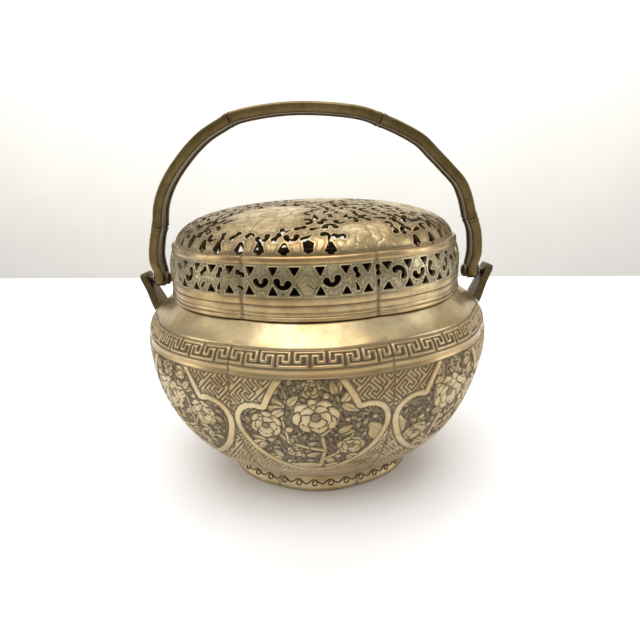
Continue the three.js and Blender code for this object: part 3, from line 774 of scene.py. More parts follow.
class Tree:
    def __init__(self, name, sizes):
        self.tree = bpy.data.node_groups.new(name, "GeometryNodeTree")
        sockets = self.tree.interface
        sockets.new_socket(name="Geometry", in_out="INPUT", socket_type="NodeSocketGeometry")
        sockets.new_socket(name="Geometry", in_out="OUTPUT", socket_type="NodeSocketGeometry")
        for label, kind, value in sizes:
            socket = sockets.new_socket(name=label, in_out="INPUT", socket_type=f"NodeSocket{kind}")
            if value is not None:
                socket.default_value = value
        self.source = self.tree.nodes.new("NodeGroupInput")
        self.result = self.tree.nodes.new("NodeGroupOutput")

    def size(self, label):
        return self.source.outputs[label]

    def add(self, kind, inputs=None, **values):
        node = self.tree.nodes.new(kind)
        for key, value in values.items():
            setattr(node, key, value)
        for label, value in (inputs or {}).items():
            socket = next(s for s in node.inputs if s.enabled and s.name == label)
            self.feed(socket, value)
        return node

    def feed(self, socket, value):
        if isinstance(value, bpy.types.NodeSocket):
            self.tree.links.new(value, socket)
        else:
            socket.default_value = value

    def out(self, node, label=None):
        return next(s for s in node.outputs if s.enabled and (label is None or s.name == label))

    def math(self, kind, a, b=None):
        node = self.tree.nodes.new("ShaderNodeMath")
        node.operation = kind
        for socket, value in zip(node.inputs, (a, b)):
            if value is not None:
                self.feed(socket, value)
        return node.outputs[0]

    def vector(self, kind, a, b=None, scale=None):
        node = self.tree.nodes.new("ShaderNodeVectorMath")
        node.operation = kind
        self.feed(node.inputs[0], a)
        if b is not None:
            self.feed(node.inputs[1], b)
        if scale is not None:
            self.feed(node.inputs["Scale"], scale)
        return node.outputs[0]

    def combine(self, x, y, z):
        node = self.tree.nodes.new("ShaderNodeCombineXYZ")
        for socket, value in zip(node.inputs, (x, y, z)):
            self.feed(socket, value)
        return node.outputs[0]

    def split(self, value):
        node = self.tree.nodes.new("ShaderNodeSeparateXYZ")
        self.feed(node.inputs[0], value)
        return node.outputs

    def fetch(self, kind, name=None):
        if name is None:
            return self.out(self.add("GeometryNodeInputPosition"))
        node = self.add("GeometryNodeInputNamedAttribute", data_type=kind)
        node.inputs["Name"].default_value = name
        return self.out(node, "Attribute")

    def sample(self, kind, geometry, value, index):
        node = self.add("GeometryNodeSampleIndex", data_type=kind, domain="POINT")
        for label, source in (("Geometry", geometry), ("Value", value), ("Index", index)):
            self.feed(next(s for s in node.inputs if s.enabled and s.name == label), source)
        return self.out(node, "Value")

    def store(self, geometry, name, value):
        node = self.add("GeometryNodeStoreNamedAttribute", data_type="FLOAT", domain="POINT")
        node.inputs["Name"].default_value = name
        self.tree.links.new(geometry, node.inputs["Geometry"])
        self.feed(next(s for s in node.inputs if s.enabled and s.name == "Value"), value)
        return node.outputs["Geometry"]

    def lobed(self, radius, theta, z, inward=None):
        # Place at an angle round the axis, drawn in at the creases, and how far off the lobe's middle it is
        turn = self.math("DIVIDE", theta, self.math("DIVIDE", 2 * math.pi, self.size("Lobes")))
        off = self.math("ABSOLUTE", self.math("SUBTRACT", turn, self.math("ROUND", turn)))
        off = self.math("MULTIPLY", off, 2)
        pull = self.math("MULTIPLY", self.math("POWER", off, self.size("Fullness")), self.size("Crease"))
        reach = self.math("MULTIPLY", radius, self.math("SUBTRACT", 1, pull))
        if inward is not None:
            reach = self.math("SUBTRACT", reach, inward)
        back = self.math("MULTIPLY", reach, -1)
        x, y = self.math("MULTIPLY", reach, self.math("SINE", theta)), self.math("COSINE", theta)
        return self.combine(x, self.math("MULTIPLY", back, y), z), off

    def close(self, geometry, place, merge=2e-6):
        move = self.add("GeometryNodeSetPosition")
        self.tree.links.new(geometry, move.inputs["Geometry"])
        self.tree.links.new(place, move.inputs["Position"])
        merged = self.add("GeometryNodeMergeByDistance", {"Distance": merge})
        self.tree.links.new(move.outputs["Geometry"], merged.inputs["Geometry"])
        smooth = self.add("GeometryNodeSetShadeSmooth")
        self.tree.links.new(merged.outputs["Geometry"], smooth.inputs["Geometry"])
        real = self.add("GeometryNodeRealizeInstances")
        self.tree.links.new(smooth.outputs["Geometry"], real.inputs["Geometry"])
        paint = self.add("GeometryNodeSetMaterial", {"Material": self.size("Material")})
        self.tree.links.new(real.outputs["Geometry"], paint.inputs["Geometry"])
        self.tree.links.new(paint.outputs["Geometry"], self.result.inputs["Geometry"])


def grownFrom(name, verts, layers, tree, values, edges=()):
    # Plain mesh of what a tree grows from the given points
    seedMesh = bpy.data.meshes.new(name + "Seed")
    seedMesh.from_pydata(
        [tuple(v) for v in np.asarray(verts, float) * toMetres], [tuple(e) for e in edges], []
    )
    for layer, data in layers.items():
        data = np.asarray(data, np.float32)
        kind = "FLOAT_VECTOR" if data.ndim == 2 else "FLOAT"
        spot = seedMesh.attributes.new(layer, kind, "POINT")
        spot.data.foreach_set("vector" if data.ndim == 2 else "value", data.ravel())
    seed = shown(name + "Seed", seedMesh)
    modifier = seed.modifiers.new("grow", "NODES")
    modifier.node_group = tree.tree
    for socket in tree.tree.interface.items_tree:
        if socket.item_type == "SOCKET" and socket.in_out == "INPUT" and socket.name in values:
            modifier[socket.identifier] = values[socket.name]
    graph = bpy.context.evaluated_depsgraph_get()
    mesh = bpy.data.meshes.new_from_object(seed.evaluated_get(graph))
    mesh.name = name
    bpy.data.objects.remove(seed)
    bpy.data.meshes.remove(seedMesh)
    return shown(name, mesh)


def lobedRingTree():
    # Turned section carried round the axis and drawn in at the creases, with painted shade along each crease
    t = Tree("lobedRing", (
        ("Columns", "Int", 512), ("Rows", "Int", 12), ("Lobes", "Float", 8.0), ("Crease", "Float", 0.02),
        ("Fullness", "Float", 2.2), ("Crease Shade", "Float", 0.6), ("Material", "Material", None),
    ))
    section = t.source.outputs["Geometry"]
    rows = t.math("ADD", t.size("Rows"), 1)
    grid = t.add("GeometryNodeMeshGrid", {
        "Vertices X": t.math("ADD", t.size("Columns"), 1), "Vertices Y": rows,
    })
    index = t.out(t.add("GeometryNodeInputIndex"))
    column = t.math("FLOOR", t.math("DIVIDE", t.math("ADD", index, 0.5), rows))
    row = t.math("SUBTRACT", index, t.math("MULTIPLY", column, rows))
    row = t.math("MODULO", row, t.size("Rows"))
    theta = t.math("MULTIPLY", t.math("DIVIDE", column, t.size("Columns")), 2 * math.pi)
    at = t.sample("FLOAT_VECTOR", section, t.fetch("FLOAT_VECTOR"), row)
    oxideAndShade = t.sample("FLOAT", section, t.fetch("FLOAT", "oxideAndShade"), row)
    radius, _, z = t.split(at)
    place, off = t.lobed(radius, theta, z)
    # Painted shade along each crease, added to the dark layer
    crease = t.add("ShaderNodeMapRange", {"Value": off, "From Min": 0.955, "From Max": 0.995})
    dark = t.math("MAXIMUM", oxideAndShade, t.math("MULTIPLY", crease.outputs[0], t.size("Crease Shade")))
    stored = t.store(grid.outputs["Mesh"], "oxideAndShade", dark)
    t.close(stored, place)
    return t


def sweptBarTree():
    # Section carried along a path, its width and thickness read from the path's points
    t = Tree("sweptBar", (("Stations", "Int", 100), ("Corners", "Int", 24), ("Material", "Material", None)))
    seed = t.source.outputs["Geometry"]
    corners = t.math("ADD", t.size("Corners"), 1)
    grid = t.add("GeometryNodeMeshGrid", {"Vertices X": t.size("Stations"), "Vertices Y": corners})
    index = t.out(t.add("GeometryNodeInputIndex"))
    station = t.math("FLOOR", t.math("DIVIDE", t.math("ADD", index, 0.5), corners))
    corner = t.math("SUBTRACT", index, t.math("MULTIPLY", station, corners))
    corner = t.math("MODULO", corner, t.size("Corners"))
    along = t.math("ADD", station, t.size("Corners"))
    section = t.sample("FLOAT_VECTOR", seed, t.fetch("FLOAT_VECTOR"), corner)
    groove = t.sample("FLOAT", seed, t.fetch("FLOAT", "oxideAndShade"), corner)
    at = t.sample("FLOAT_VECTOR", seed, t.fetch("FLOAT_VECTOR"), along)
    inward = t.sample("FLOAT_VECTOR", seed, t.fetch("FLOAT_VECTOR", "inward"), along)
    wide = t.sample("FLOAT", seed, t.fetch("FLOAT", "wide"), along)
    thick = t.sample("FLOAT", seed, t.fetch("FLOAT", "thick"), along)
    oxideAndShade = t.sample("FLOAT", seed, t.fetch("FLOAT", "oxideAndShade"), along)
    middle = t.sample("FLOAT", seed, t.fetch("FLOAT", "middle"), along)
    side, depth, _ = t.split(section)
    depth = t.math("ADD", t.math("MULTIPLY", t.math("SUBTRACT", depth, middle), thick), middle)
    place = t.vector("ADD", at, t.vector("SCALE", inward, scale=depth))
    place = t.vector("ADD", place, t.combine(0.0, t.math("MULTIPLY", side, wide), 0.0))
    stored = t.store(grid.outputs["Mesh"], "oxideAndShade", t.math("MAXIMUM", groove, oxideAndShade))
    t.close(stored, place)
    return t


def scrollBandTree():
    # One raised scroll repeated round the foot and bent to its lobed face
    t = Tree("scrollBand", (
        ("Count", "Int", 24), ("Radius", "Float", 0.046), ("Lobes", "Float", 8.0), ("Crease", "Float", 0.018),
        ("Fullness", "Float", 2.2), ("Wire", "Float", 0.0003), ("Material", "Material", None),
    ))
    curve = t.add("GeometryNodeMeshToCurve")
    t.tree.links.new(t.source.outputs["Geometry"], curve.inputs["Mesh"])
    ring = t.add("GeometryNodeCurvePrimitiveCircle", {"Resolution": 6, "Radius": t.size("Wire")})
    tube = t.add("GeometryNodeCurveToMesh", {"Fill Caps": True})
    t.tree.links.new(curve.outputs["Curve"], tube.inputs["Curve"])
    t.tree.links.new(ring.outputs["Curve"], tube.inputs["Profile Curve"])
    line = t.add("GeometryNodeMeshLine", {"Count": t.size("Count"), "Offset": (0.0, 0.0, 0.0)})
    index = t.out(t.add("GeometryNodeInputIndex"))
    pitchOut = t.math("DIVIDE", 2 * math.pi, t.size("Count"))
    shift = t.combine(t.math("MULTIPLY", t.math("MULTIPLY", index, pitchOut), t.size("Radius")), 0.0, 0.0)
    spread = t.add("GeometryNodeSetPosition")
    t.tree.links.new(line.outputs["Mesh"], spread.inputs["Geometry"])
    t.tree.links.new(shift, spread.inputs["Position"])
    copies = t.add("GeometryNodeInstanceOnPoints")
    t.tree.links.new(spread.outputs["Geometry"], copies.inputs["Points"])
    t.tree.links.new(tube.outputs["Mesh"], copies.inputs["Instance"])
    real = t.add("GeometryNodeRealizeInstances")
    t.tree.links.new(copies.outputs["Instances"], real.inputs["Geometry"])
    x, y, z = t.split(t.fetch("FLOAT_VECTOR"))
    theta = t.math("DIVIDE", x, t.size("Radius"))
    place, _ = t.lobed(t.size("Radius"), theta, z, y)
    stored = t.store(real.outputs["Geometry"], "oxideAndShade", 1.0)
    t.close(stored, place, 1e-7)
    return t


ringTree = lobedRingTree()
barTree = sweptBarTree()
scrollTree = scrollBandTree()


def turnFaces(piece):
    # Turns a closed piece's faces outward
    work = bmesh.new()
    work.from_mesh(piece.data)
    bmesh.ops.recalc_face_normals(work, faces=work.faces)
    work.to_mesh(piece.data)
    work.free()


def ringPiece(name, section, material, body, node, slot, share, columns=512, creaseShade=0.6, sharp=38):
    # Ring from a closed section of (radius, height, oxide), with painted shade along its creases
    section = np.array(section, float)
    verts = np.stack([section[:, 0], np.zeros(len(section)), section[:, 1]], -1)
    piece = grownFrom(name, verts, {"oxideAndShade": section[:, 2]}, ringTree, {
        "Columns": columns, "Rows": len(section), "Lobes": float(lobes), "Crease": share,
        "Fullness": lobeFullness, "Crease Shade": creaseShade, "Material": material,
    })
    turnFaces(piece)
    piece.data.set_sharp_from_angle(angle=math.radians(sharp))
    if node:
        finishPiece(piece, material, body, node, slot=slot)
    return piece


# Foot ring

footLook = {"scrolls": 40, "wire": 0.3, "scrollMiddle": 4.7, "scrollRise": 1.75, "scrollProud": 0.08}


def footSection():
    top, edge, waist = foot["top"], foot["edge"], foot["waist"]
    inner = waist - foot["wall"]
    return [
        (edge - 0.9, 0, 0.5), (edge - 0.35, 0.25, 0.3), (edge - 0.05, 0.8, 0.1), (edge, 1.5, 0.05),
        (edge - 0.15, 2.4, 0.05), (waist + 0.35, 3.6, 0.05), (waist + 0.15, 5.0, 0.05),
        (waist + 0.12, 6.4, 0.05), (waist + 0.2, 7.7, 0.1), (waist + 0.18, 7.95, 0.5),
        (waist + 0.1, 8.15, 0.9), (waist + 0.2, 8.35, 0.5), (top - 0.15, 8.6, 0.1), (top - 0.3, 9, 0.7),
        (inner, 9, 0.6), (inner, 5, 0.6), (inner, 0.4, 0.6), (inner + 0.4, 0, 0.5),
    ]


ringPiece("footRing", footSection(), plainBrass, "bowl", "foot_ring", "body_brass", bodyCrease, 480)


def footOut(height):
    # How far the face of the foot stands outside its waist at a height
    waist, edge = foot["waist"], foot["edge"]
    return float(
        np.interp(
            height, (1.5, 2.4, 3.6, 5.0, 6.4, 7.7),
            (edge - waist, edge - 0.15 - waist, 0.35, 0.15, 0.12, 0.2)
        )
    )


def scrollLine():
    # Running scroll of one repeat, a wave with a curl under its crest, as (along, inward, height)
    repeat = 2 * math.pi * foot["waist"] / footLook["scrolls"]
    rise, middle = footLook["scrollRise"], footLook["scrollMiddle"]
    wave, curl = [], []
    for k in range(25):
        height = middle + 0.55 * rise * math.sin(2 * math.pi * k / 24)
        wave.append((repeat * (k / 24 - 0.5), -footOut(height), height))
    for k in range(25):
        angle = 0.5 * math.pi - 2.1 * math.pi * k / 24
        reach = rise * (0.92 - 0.6 * k / 24)
        height = middle - 0.37 * rise + reach * math.sin(angle)
        curl.append((0.1 - repeat * 0.25 + reach * math.cos(angle), -footOut(height), height))
    return wave, curl


scrollBrass = brassMaterial("scrollBrass", dict(brassLook, oxideAndShade=(0.12, 0.07, 0.026)), tarnish=0.6)
wave, curl = scrollLine()
scroll = wave + curl
footScroll = grownFrom(
    "footScroll", scroll, {}, scrollTree,
    {
        "Count": footLook["scrolls"], "Radius": (foot["waist"] + footLook["scrollProud"]) * toMetres,
        "Lobes": float(lobes), "Crease": bodyCrease, "Fullness": lobeFullness,
        "Wire": footLook["wire"] * toMetres, "Material": scrollBrass,
    },
    [(k, k + 1) for k in range(len(scroll) - 1) if k != len(wave) - 1],
)
turnFaces(footScroll)
finishPiece(footScroll, scrollBrass, "bowl", "foot_ring", slot="body_brass")
print("foot made")

# Collar and fire pan

collar = {"radius": 65.5, "wall": 1.4, "low": 82.6, "high": 94.6}
collarLook = dict(lidLook, pale=(0.2, 0.15, 0.09), warm=(0.14, 0.1, 0.06), roughness=0.4)
collarBrass = brassMaterial("collarBrass", collarLook, tarnish=0.6, grime=0.2)
ringPiece("neckCollar", [
    (collar["radius"], collar["low"], 0.6), (collar["radius"], collar["high"] - 0.4, 0.2),
    (collar["radius"] - 0.35, collar["high"], 0.05),
    (collar["radius"] - collar["wall"] + 0.35, collar["high"], 0.05),
    (collar["radius"] - collar["wall"], collar["high"] - 0.4, 0.3),
    (collar["radius"] - collar["wall"], collar["low"], 0.7),
], collarBrass, "bowl", "neck_collar", "body_brass", lidCrease, 384)

# Near-black fire pan: painted shade for the inside of the censer, seen through the lid's holes
panShadeLook = dict(
    brassLook, pale=(0.13, 0.085, 0.06), warm=(0.1, 0.07, 0.05), tarnish=(0.04, 0.03, 0.025),
    oxideAndShade=(0.012, 0.011, 0.01), roughness=0.5,
)
panShadeCopper = brassMaterial("panShadeCopper", panShadeLook, tarnish=0.8, grime=0.4)
pan = {
    "floor": 10.9, "floorRadius": 36.0, "radius": 62.0, "belly": 52.0, "rimRadius": 63.4, "top": 78.6,
    "wall": 1.2, "rim": 1.1, "wallRows": (60.0, 68.0, 75.0), "floorRows": (12.0, 24.0),
}


def panSection():
    radius, top = pan["radius"], pan["top"]
    floor, low = pan["floor"], pan["floor"] + pan["wall"]
    inside = radius - pan["wall"]
    cup = bezier(
        (pan["floorRadius"], floor), (inside, low), (radius, (floor + pan["belly"]) / 2),
        (radius, pan["belly"]), 18,
    )
    rows = [(radius, z) for z in (*pan["wallRows"], top - pan["rim"])]
    wall = Profile(np.concatenate([cup, rows]))
    s = np.linspace(0, wall.length, 34)
    outR, outZ = wall.at(s)
    inR, inZ = wall.at(s[::-1], -pan["wall"])
    keep = (inZ > low + 0.15) & (inZ < top - 0.3)
    section = [(r, floor, 0.5) for r in (0, *pan["floorRows"])]
    section += [(r, z, 0.35) for r, z in zip(outR, outZ)]
    section += [(pan["rimRadius"], top - pan["rim"], 0.3), (pan["rimRadius"], top - 0.4, 0.1)]
    section += [(pan["rimRadius"] - 0.4, top, 0.1), (inside + 0.3, top, 0.2), (inside, top - 0.3, 0.3)]
    section += [(r, z, 0.3 + 0.6 * smoothStep(z, 60, 20)) for r, z in zip(inR[keep], inZ[keep])]
    section += [(r, low, 0.9) for r in (pan["floorRadius"], *pan["floorRows"][::-1], 0)]
    return section


ringPiece("firePan", panSection(), panShadeCopper, "pan", "fire_pan", "pan_copper", lidCrease, 320, 0.2)
print("collar and pan made")

# Lid: rim band and bead

rimSteps = (
    (-0.2, 0, 0.8), (0.3, 0.05, 0.4), (0.5, 0.45, 0.05), (0.5, 1.05, 0.05), (0.3, 1.4, 0.2),
    (0.02, 1.65, 0.7), (0.05, 1.95, 0.2), (0.2, 2.3, 0.0), (0.2, 2.75, 0.0), (0.04, 3.05, 0.15),
    (-0.02, 3.25, 0.45), (0.04, 3.5, 0.1), (0.1, 4.2, 0.0), (0.12, 4.9, 0.0), (0.06, 5.35, 0.1),
    (-0.02, 5.6, 0.5), (-0.12, 5.8, 0.9), (-0.02, 6.0, 0.4), (0.1, 6.3, 0.0), (0.14, 7.2, 0.0),
    (0.12, 8.2, 0.0), (0.02, 8.6, 0.15), (-0.05, 8.8, 0.4),
)
rimSection = [(lid["rim"] + out, lid["bottom"] + up, dark) for out, up, dark in rimSteps]
rimSection += [(lid["rim"] - lid["wall"], z, 0.6) for z in (lid["rimTop"], lid["rimMiddle"], lid["bottom"])]
ringPiece("lidRimBand", rimSection, rimBrass, "lid", "lid_rim_band", "lid_brass", lidCrease, 640, 0.75)

bead = {
    "radius": 65.75, "swell": 0.85, "drift": 0.6, "last": 65.0, "middle": 108.45, "rise": 1.42, "steps": 8
}
beadSection = [(lid["sideTopRadius"] - 1.5, lid["sideTop"], 0.6)]
beadSection += [(lid["sideTopRadius"] - 0.1, lid["sideTop"], 0.85)]
for k in range(bead["steps"] + 1):
    turn = math.pi * (-0.42 + 0.95 * k / bead["steps"])
    outward = math.cos(turn)
    radius = bead["last"]
    if outward > 0:
        radius = bead["radius"] + bead["swell"] * outward ** 0.6 - bead["drift"] * k / bead["steps"]
    beadSection.append((radius, bead["middle"] + bead["rise"] * math.sin(turn), 0.35 if k == 0 else 0.0))
beadSection += [
    (lid["domeRadius"] - 0.2, lid["domeBase"], 0.85), (lid["domeRadius"] - 1.5, lid["domeBase"], 0.6)
]
ringPiece("lidBead", beadSection, rimBrass, "lid", "lid_bead", "lid_brass", lidCrease, 640, 0.7, sharp=60)
print("lid rim and bead made")

# Pierced plates

corners = {
    1: ((0, 4, 7),), 2: ((1, 5, 4),), 3: ((0, 1, 5, 7),), 4: ((2, 6, 5),), 5: ((0, 4, 7), (2, 6, 5)),
    6: ((1, 2, 6, 4),), 7: ((0, 1, 2, 6, 7),), 8: ((3, 7, 6),), 9: ((0, 4, 6, 3),),
    10: ((1, 5, 4), (3, 7, 6)), 11: ((0, 1, 5, 6, 3),), 12: ((2, 3, 7, 5),), 13: ((0, 4, 5, 2, 3),),
    14: ((1, 2, 3, 7, 4),), 15: ((0, 1, 2, 3),),
}
rims = {
    1: ((4, 7),), 2: ((5, 4),), 3: ((5, 7),), 4: ((6, 5),), 5: ((4, 7), (6, 5)), 6: ((6, 4),), 7: ((6, 7),),
    8: ((7, 6),), 9: ((4, 6),), 10: ((5, 4), (7, 6)), 11: ((5, 6),), 12: ((7, 5),), 13: ((4, 5),),
    14: ((7, 4),),
}


def mainland(metal, wraps):
    # Keeps the largest joined region of a grid
    label = np.full(metal.shape, -1)
    best, bestSize = -1, 0
    wide, tall = metal.shape
    current = 0
    for si, sj in zip(*np.nonzero(metal)):
        if label[si, sj] >= 0:
            continue
        label[si, sj] = current
        queue = [(si, sj)]
        size = 0
        while queue:
            i, j = queue.pop()
            size += 1
            for ni, nj in ((i + 1, j), (i - 1, j), (i, j + 1), (i, j - 1)):
                if wraps:
                    ni %= wide
                if 0 <= ni < wide and 0 <= nj < tall and metal[ni, nj] and label[ni, nj] < 0:
                    label[ni, nj] = current
                    queue.append((ni, nj))
        if size > bestSize:
            best, bestSize = current, size
        current += 1
    return label == best


def piercedPlate(name, field, layers, place, wall, wraps=False):
    # Closed plate wherever the field is above nought, on a grid of chart positions
    keep = mainland(field > 0, wraps)
    field = np.where(keep, np.maximum(field, 0.02), np.minimum(field, -0.02))
    wide, tall = field.shape
    spots, found = [], {}

    def vertex(key, i, j):
        if key not in found:
            found[key] = len(spots)
            spots.append((i, j))
        return found[key]

    def crossing(i, j, ni, nj, di, dj):
        a, b = field[i, j], field[ni, nj]
        t = min(max(a / (a - b), 0.08), 0.92)
        return vertex(("h" if di else "v", i, j), i + di * t, j + dj * t)

    faces, borders = [], []
    steps = wide if wraps else wide - 1
    inside = field > 0
    for i in range(steps):
        n = (i + 1) % wide
        code = inside[i, :-1] + 2 * inside[n, :-1] + 4 * inside[n, 1:] + 8 * inside[i, 1:]
        for j in np.nonzero(code)[0]:
            kind = int(code[j])
            ids = {}

            def corner(k):
                if k in ids:
                    return ids[k]
                if k < 4:
                    ni, nj = (i, n, n, i)[k], (j, j, j + 1, j + 1)[k]
                    ids[k] = vertex((ni, nj), ni, nj)
                elif k in (4, 6):
                    row = j + 1 if k == 6 else j
                    ids[k] = crossing(i, row, n, row, 1, 0)
                else:
                    column = n if k == 5 else i
                    ids[k] = crossing(column, j, column, j + 1, 0, 1)
                return ids[k]

            for face in corners[kind]:
                faces.append([corner(k) for k in face])
            for a, b in rims.get(kind, ()):
                borders.append((corner(a), corner(b)))
    spots = np.array(spots, float)
    low = np.floor(spots).astype(int)
    frac = spots - low
    values = {}
    for layer, grid in layers.items():
        i0, j0 = low[:, 0] % wide, np.minimum(low[:, 1], tall - 1)
        i1, j1 = (low[:, 0] + 1) % wide, np.minimum(low[:, 1] + 1, tall - 1)
        fi, fj = frac[:, 0], frac[:, 1]
        values[layer] = (
            grid[i0, j0] * (1 - fi) * (1 - fj) + grid[i1, j0] * fi * (1 - fj)
            + grid[i0, j1] * (1 - fi) * fj + grid[i1, j1] * fi * fj
        )
    lift = values.pop("lift")
    top = place(spots, lift)
    under = place(spots, np.full(len(spots), -wall))
    count = len(spots)
    turned = [[k + count for k in face[::-1]] for face in faces]
    walls = [[b, a, a + count, b + count] for a, b in borders]
    everyFace = faces + turned + walls
    mesh = bpy.data.meshes.new(name)
    mesh.from_pydata([tuple(v) for v in np.concatenate([top, under]) * toMetres], [], everyFace)
    for layer, data in values.items():
        below = np.full(count, 0.55 if layer == "oxideAndShade" else 9.0)
        addLayer(mesh, layer, np.concatenate([data, below]))
    mesh.shade_smooth()
    piece = shown(name, mesh)
    turnFaces(piece)
    piece.data.set_sharp_from_angle(angle=math.radians(40))
    return piece


def holeDistance(u, v, points):
    # Distance to an opening drawn as a line of varying half width, negative inside it
    away = np.full(u.shape, 1e9)
    for (ax, ay, ar), (bx, by, br) in zip(points, points[1:]):
        reach, t = segmentDistance(u, v, (ax, ay), (bx, by))
        away = np.minimum(away, reach - (ar + (br - ar) * t))
    return away


def curlHole(size, open=3.9, bulb=0.36, waist=0.2):
    # C curl with a bulb at each end
    radius = size * 0.36
    points = []
    for k in range(9):
        t = k / 8
        angle = (t - 0.5) * open
        width = size * (waist + (bulb - waist) * abs(2 * t - 1) ** 2.2) / 2
        points.append((radius * math.cos(angle), radius * math.sin(angle), width))
    return points


def commaHole(size, flip=1):
    points = []
    for k in range(7):
        t = k / 6
        angle = -0.4 + 2.5 * t
        reach = size * (0.12 + 0.34 * t)
        points.append(
            (reach * math.cos(angle) * 1.1, flip * reach * math.sin(angle), size * (0.2 - 0.14 * t))
        )
    return points


def doubleDot(size):
    return [(-size * 0.25, 0, size * 0.24), (0, 0, size * 0.13), (size * 0.25, 0, size * 0.24)]


def dropHole(size):
    return [(-size * 0.28, 0, size * 0.21), (size * 0.1, 0, size * 0.13), (size * 0.45, 0, size * 0.05)]


def placedHole(shape, cu, cv, turn):
    c, s = math.cos(turn), math.sin(turn)
    return [(cu + x * c - y * s, cv + x * s + y * c, r) for x, y, r in shape]


def pierce(field, u, v, step, originU, originV, hole, margin=3.0):
    xs = [p[0] for p in hole]
    ys = [p[1] for p in hole]
    low = (int((min(xs) - margin - originU) / step), int((min(ys) - margin - originV) / step))
    high = (int((max(xs) + margin - originU) / step) + 2, int((max(ys) + margin - originV) / step) + 2)
    a, b = max(low[0], 0), max(low[1], 0)
    window = (slice(a, max(high[0], a)), slice(b, max(high[1], b)))
    field[window] = np.minimum(field[window], holeDistance(u[window], v[window], hole))


sideBand = {"step": 0.32, "triangles": 48, "seed": 11}


def lidSideBand():
    line = Profile(np.array([
        (lid["sideRadius"], lid["rimTop"]), (lid["sideRadius"] + 0.05, 96.9),
        (lid["sideRadius"] + 0.02, 98.8), (lid["sideRadius"] - 0.02, 100.5),
        (lid["sideRadius"] - 0.45, 103.0), (lid["sideRadius"] - 1.05, 105.2),
        (lid["sideTopRadius"], lid["sideTop"]),
    ]))
    around = 2 * math.pi * lid["sideRadius"]
    wide = int(round(around / sideBand["step"]))
    tall = int(round(line.length / sideBand["step"])) + 3
    stepU, stepV = around / wide, line.length / (tall - 3)
    u = (np.arange(wide)[:, None] * stepU) * np.ones((1, tall))
    v = (np.arange(tall)[None, :] - 1) * stepV * np.ones((wide, 1))
    field = np.full((wide, tall), 9.0)
    rng = np.random.default_rng(sideBand["seed"])
    spacing = around / sideBand["triangles"]

    def wrapped(hole):
        for shift in (-around, 0, around):
            moved = [(x + shift, y, r) for x, y, r in hole]
            if max(p[0] for p in moved) > -4 and min(p[0] for p in moved) < around + 4:
                pierce(field, u, v, stepU, 0.0, -stepV, moved)

    for k in range(sideBand["triangles"]):
        if rng.uniform() < 0.12:
            continue
        c = (k + 0.5 + rng.uniform(-0.08, 0.08)) * spacing
        rise, half = 3.3 + rng.uniform(-0.3, 0.4), 1.75 + rng.uniform(-0.2, 0.3)
        for base, way in ((0.8, 1), (line.length - 0.8, -1)):
            start = (c - half, base + 0.3 * way, 0.28)
            wrapped([start, (c + half, base + 0.3 * way, 0.28), (c, base + rise * way, 0.22), start])
            wrapped([(c, base + 0.7 * way, 0.75), (c, base + 0.55 * rise * way, 0.5)])
    leafHalf = 4.4 / around
    for k in range(sideBand["triangles"]):
        c = (k + rng.uniform(-0.05, 0.05)) * spacing
        share = (c / around) % 1
        if min(share, 1 - share) < leafHalf:
            continue
        kind = rng.choice(["pair", "kidney", "kidney", "stack"])
        turn = rng.uniform(0, 2 * math.pi)
        middle = line.length / 2
        if kind == "pair":
            wrapped(
                placedHole(
                    doubleDot(rng.uniform(5.0, 5.8)), c, middle + rng.uniform(-1, 1),
                    math.pi / 2 + 0.9 * math.sin(turn)
                )
            )
        elif kind == "kidney":
            wrapped(
                placedHole(
                    curlHole(rng.uniform(5.4, 6.2), 2.8, 0.46, 0.3), c, middle + rng.uniform(-0.8, 0.8), turn
                )
            )
        else:
            wrapped(placedHole(doubleDot(4.6), c, middle + 2.4, turn))
            wrapped(placedHole(dropHole(3.6), c, middle - 2.6, turn))
    height = 0.05 * fieldNoise(u, v, 1.4, 3)
    oxideAndShade = 0.16 + 0.5 * smoothStep(fieldNoise(u, v, 1.3, 6), 0.1, 0.5)
    rim = smoothStep(np.minimum(v, line.length - v), 0.95, 0.6)
    oxideAndShade = oxideAndShade * (1 - rim) + 0.12 * rim
    groove = smoothStep(np.abs(np.minimum(v, line.length - v) - 0.45), 0.25, 0.08)
    oxideAndShade = np.maximum(oxideAndShade, 0.5 * groove)
    height = height - 0.12 * groove
    # Engraved leaves in the middle of the front
    leafU = np.minimum(u, around - u) * np.where(u > around / 2, -1, 1)
    for cu, turn in ((-3.2, 0.7), (0.6, 2.2), (3.4, 0.5), (1.2, -0.9), (-1.5, -2.4)):
        du, dv = leafU - cu, v - line.length / 2
        a = du * math.cos(turn) + dv * math.sin(turn)
        b = -du * math.sin(turn) + dv * math.cos(turn)
        leaf = 1 - (a / 3.2) ** 2 - (b / 1.35) ** 2
        inside = smoothStep(leaf, 0, 0.25)
        edge = smoothStep(np.abs(leaf), 0.3, 0.05)
        vein = smoothStep(np.abs(b), 0.3, 0.08) * inside
        oxideAndShade = oxideAndShade * (1 - inside) + 0.06 * inside
        oxideAndShade = np.maximum(oxideAndShade, np.maximum(edge * 0.85, vein * 0.7))
        height = height * (1 - inside) + 0.12 * inside - 0.1 * vein
    # Painted shade along the crease between lobes
    crease = (np.abs(((u / around * lobes) % 1) - 0.5) * 2 < 0.03)
    oxideAndShade = np.maximum(oxideAndShade, 0.7 * crease)
    edgeField = np.minimum(v, line.length - v) + stepV * 0.02
    field = np.minimum(field, edgeField)

    def place(spots, lift):
        theta = spots[:, 0] / wide * 2 * math.pi
        s = np.clip((spots[:, 1] - 1) * stepV, 0, line.length)
        r, z = line.at(s, 0)
        z = np.clip(z, lid["rimTop"], lid["sideTop"])
        return roundAxis(r + lift, theta, z, lidCrease)

    piece = piercedPlate(
        "lidSideBand", field, {"lift": height, "oxideAndShade": oxideAndShade, "cut": np.minimum(field, 9.0)}, place,
        lid["wall"], True,
    )
    return finishPiece(piece, sideBrass, "lid", "lid_side_band", slot="lid_brass")


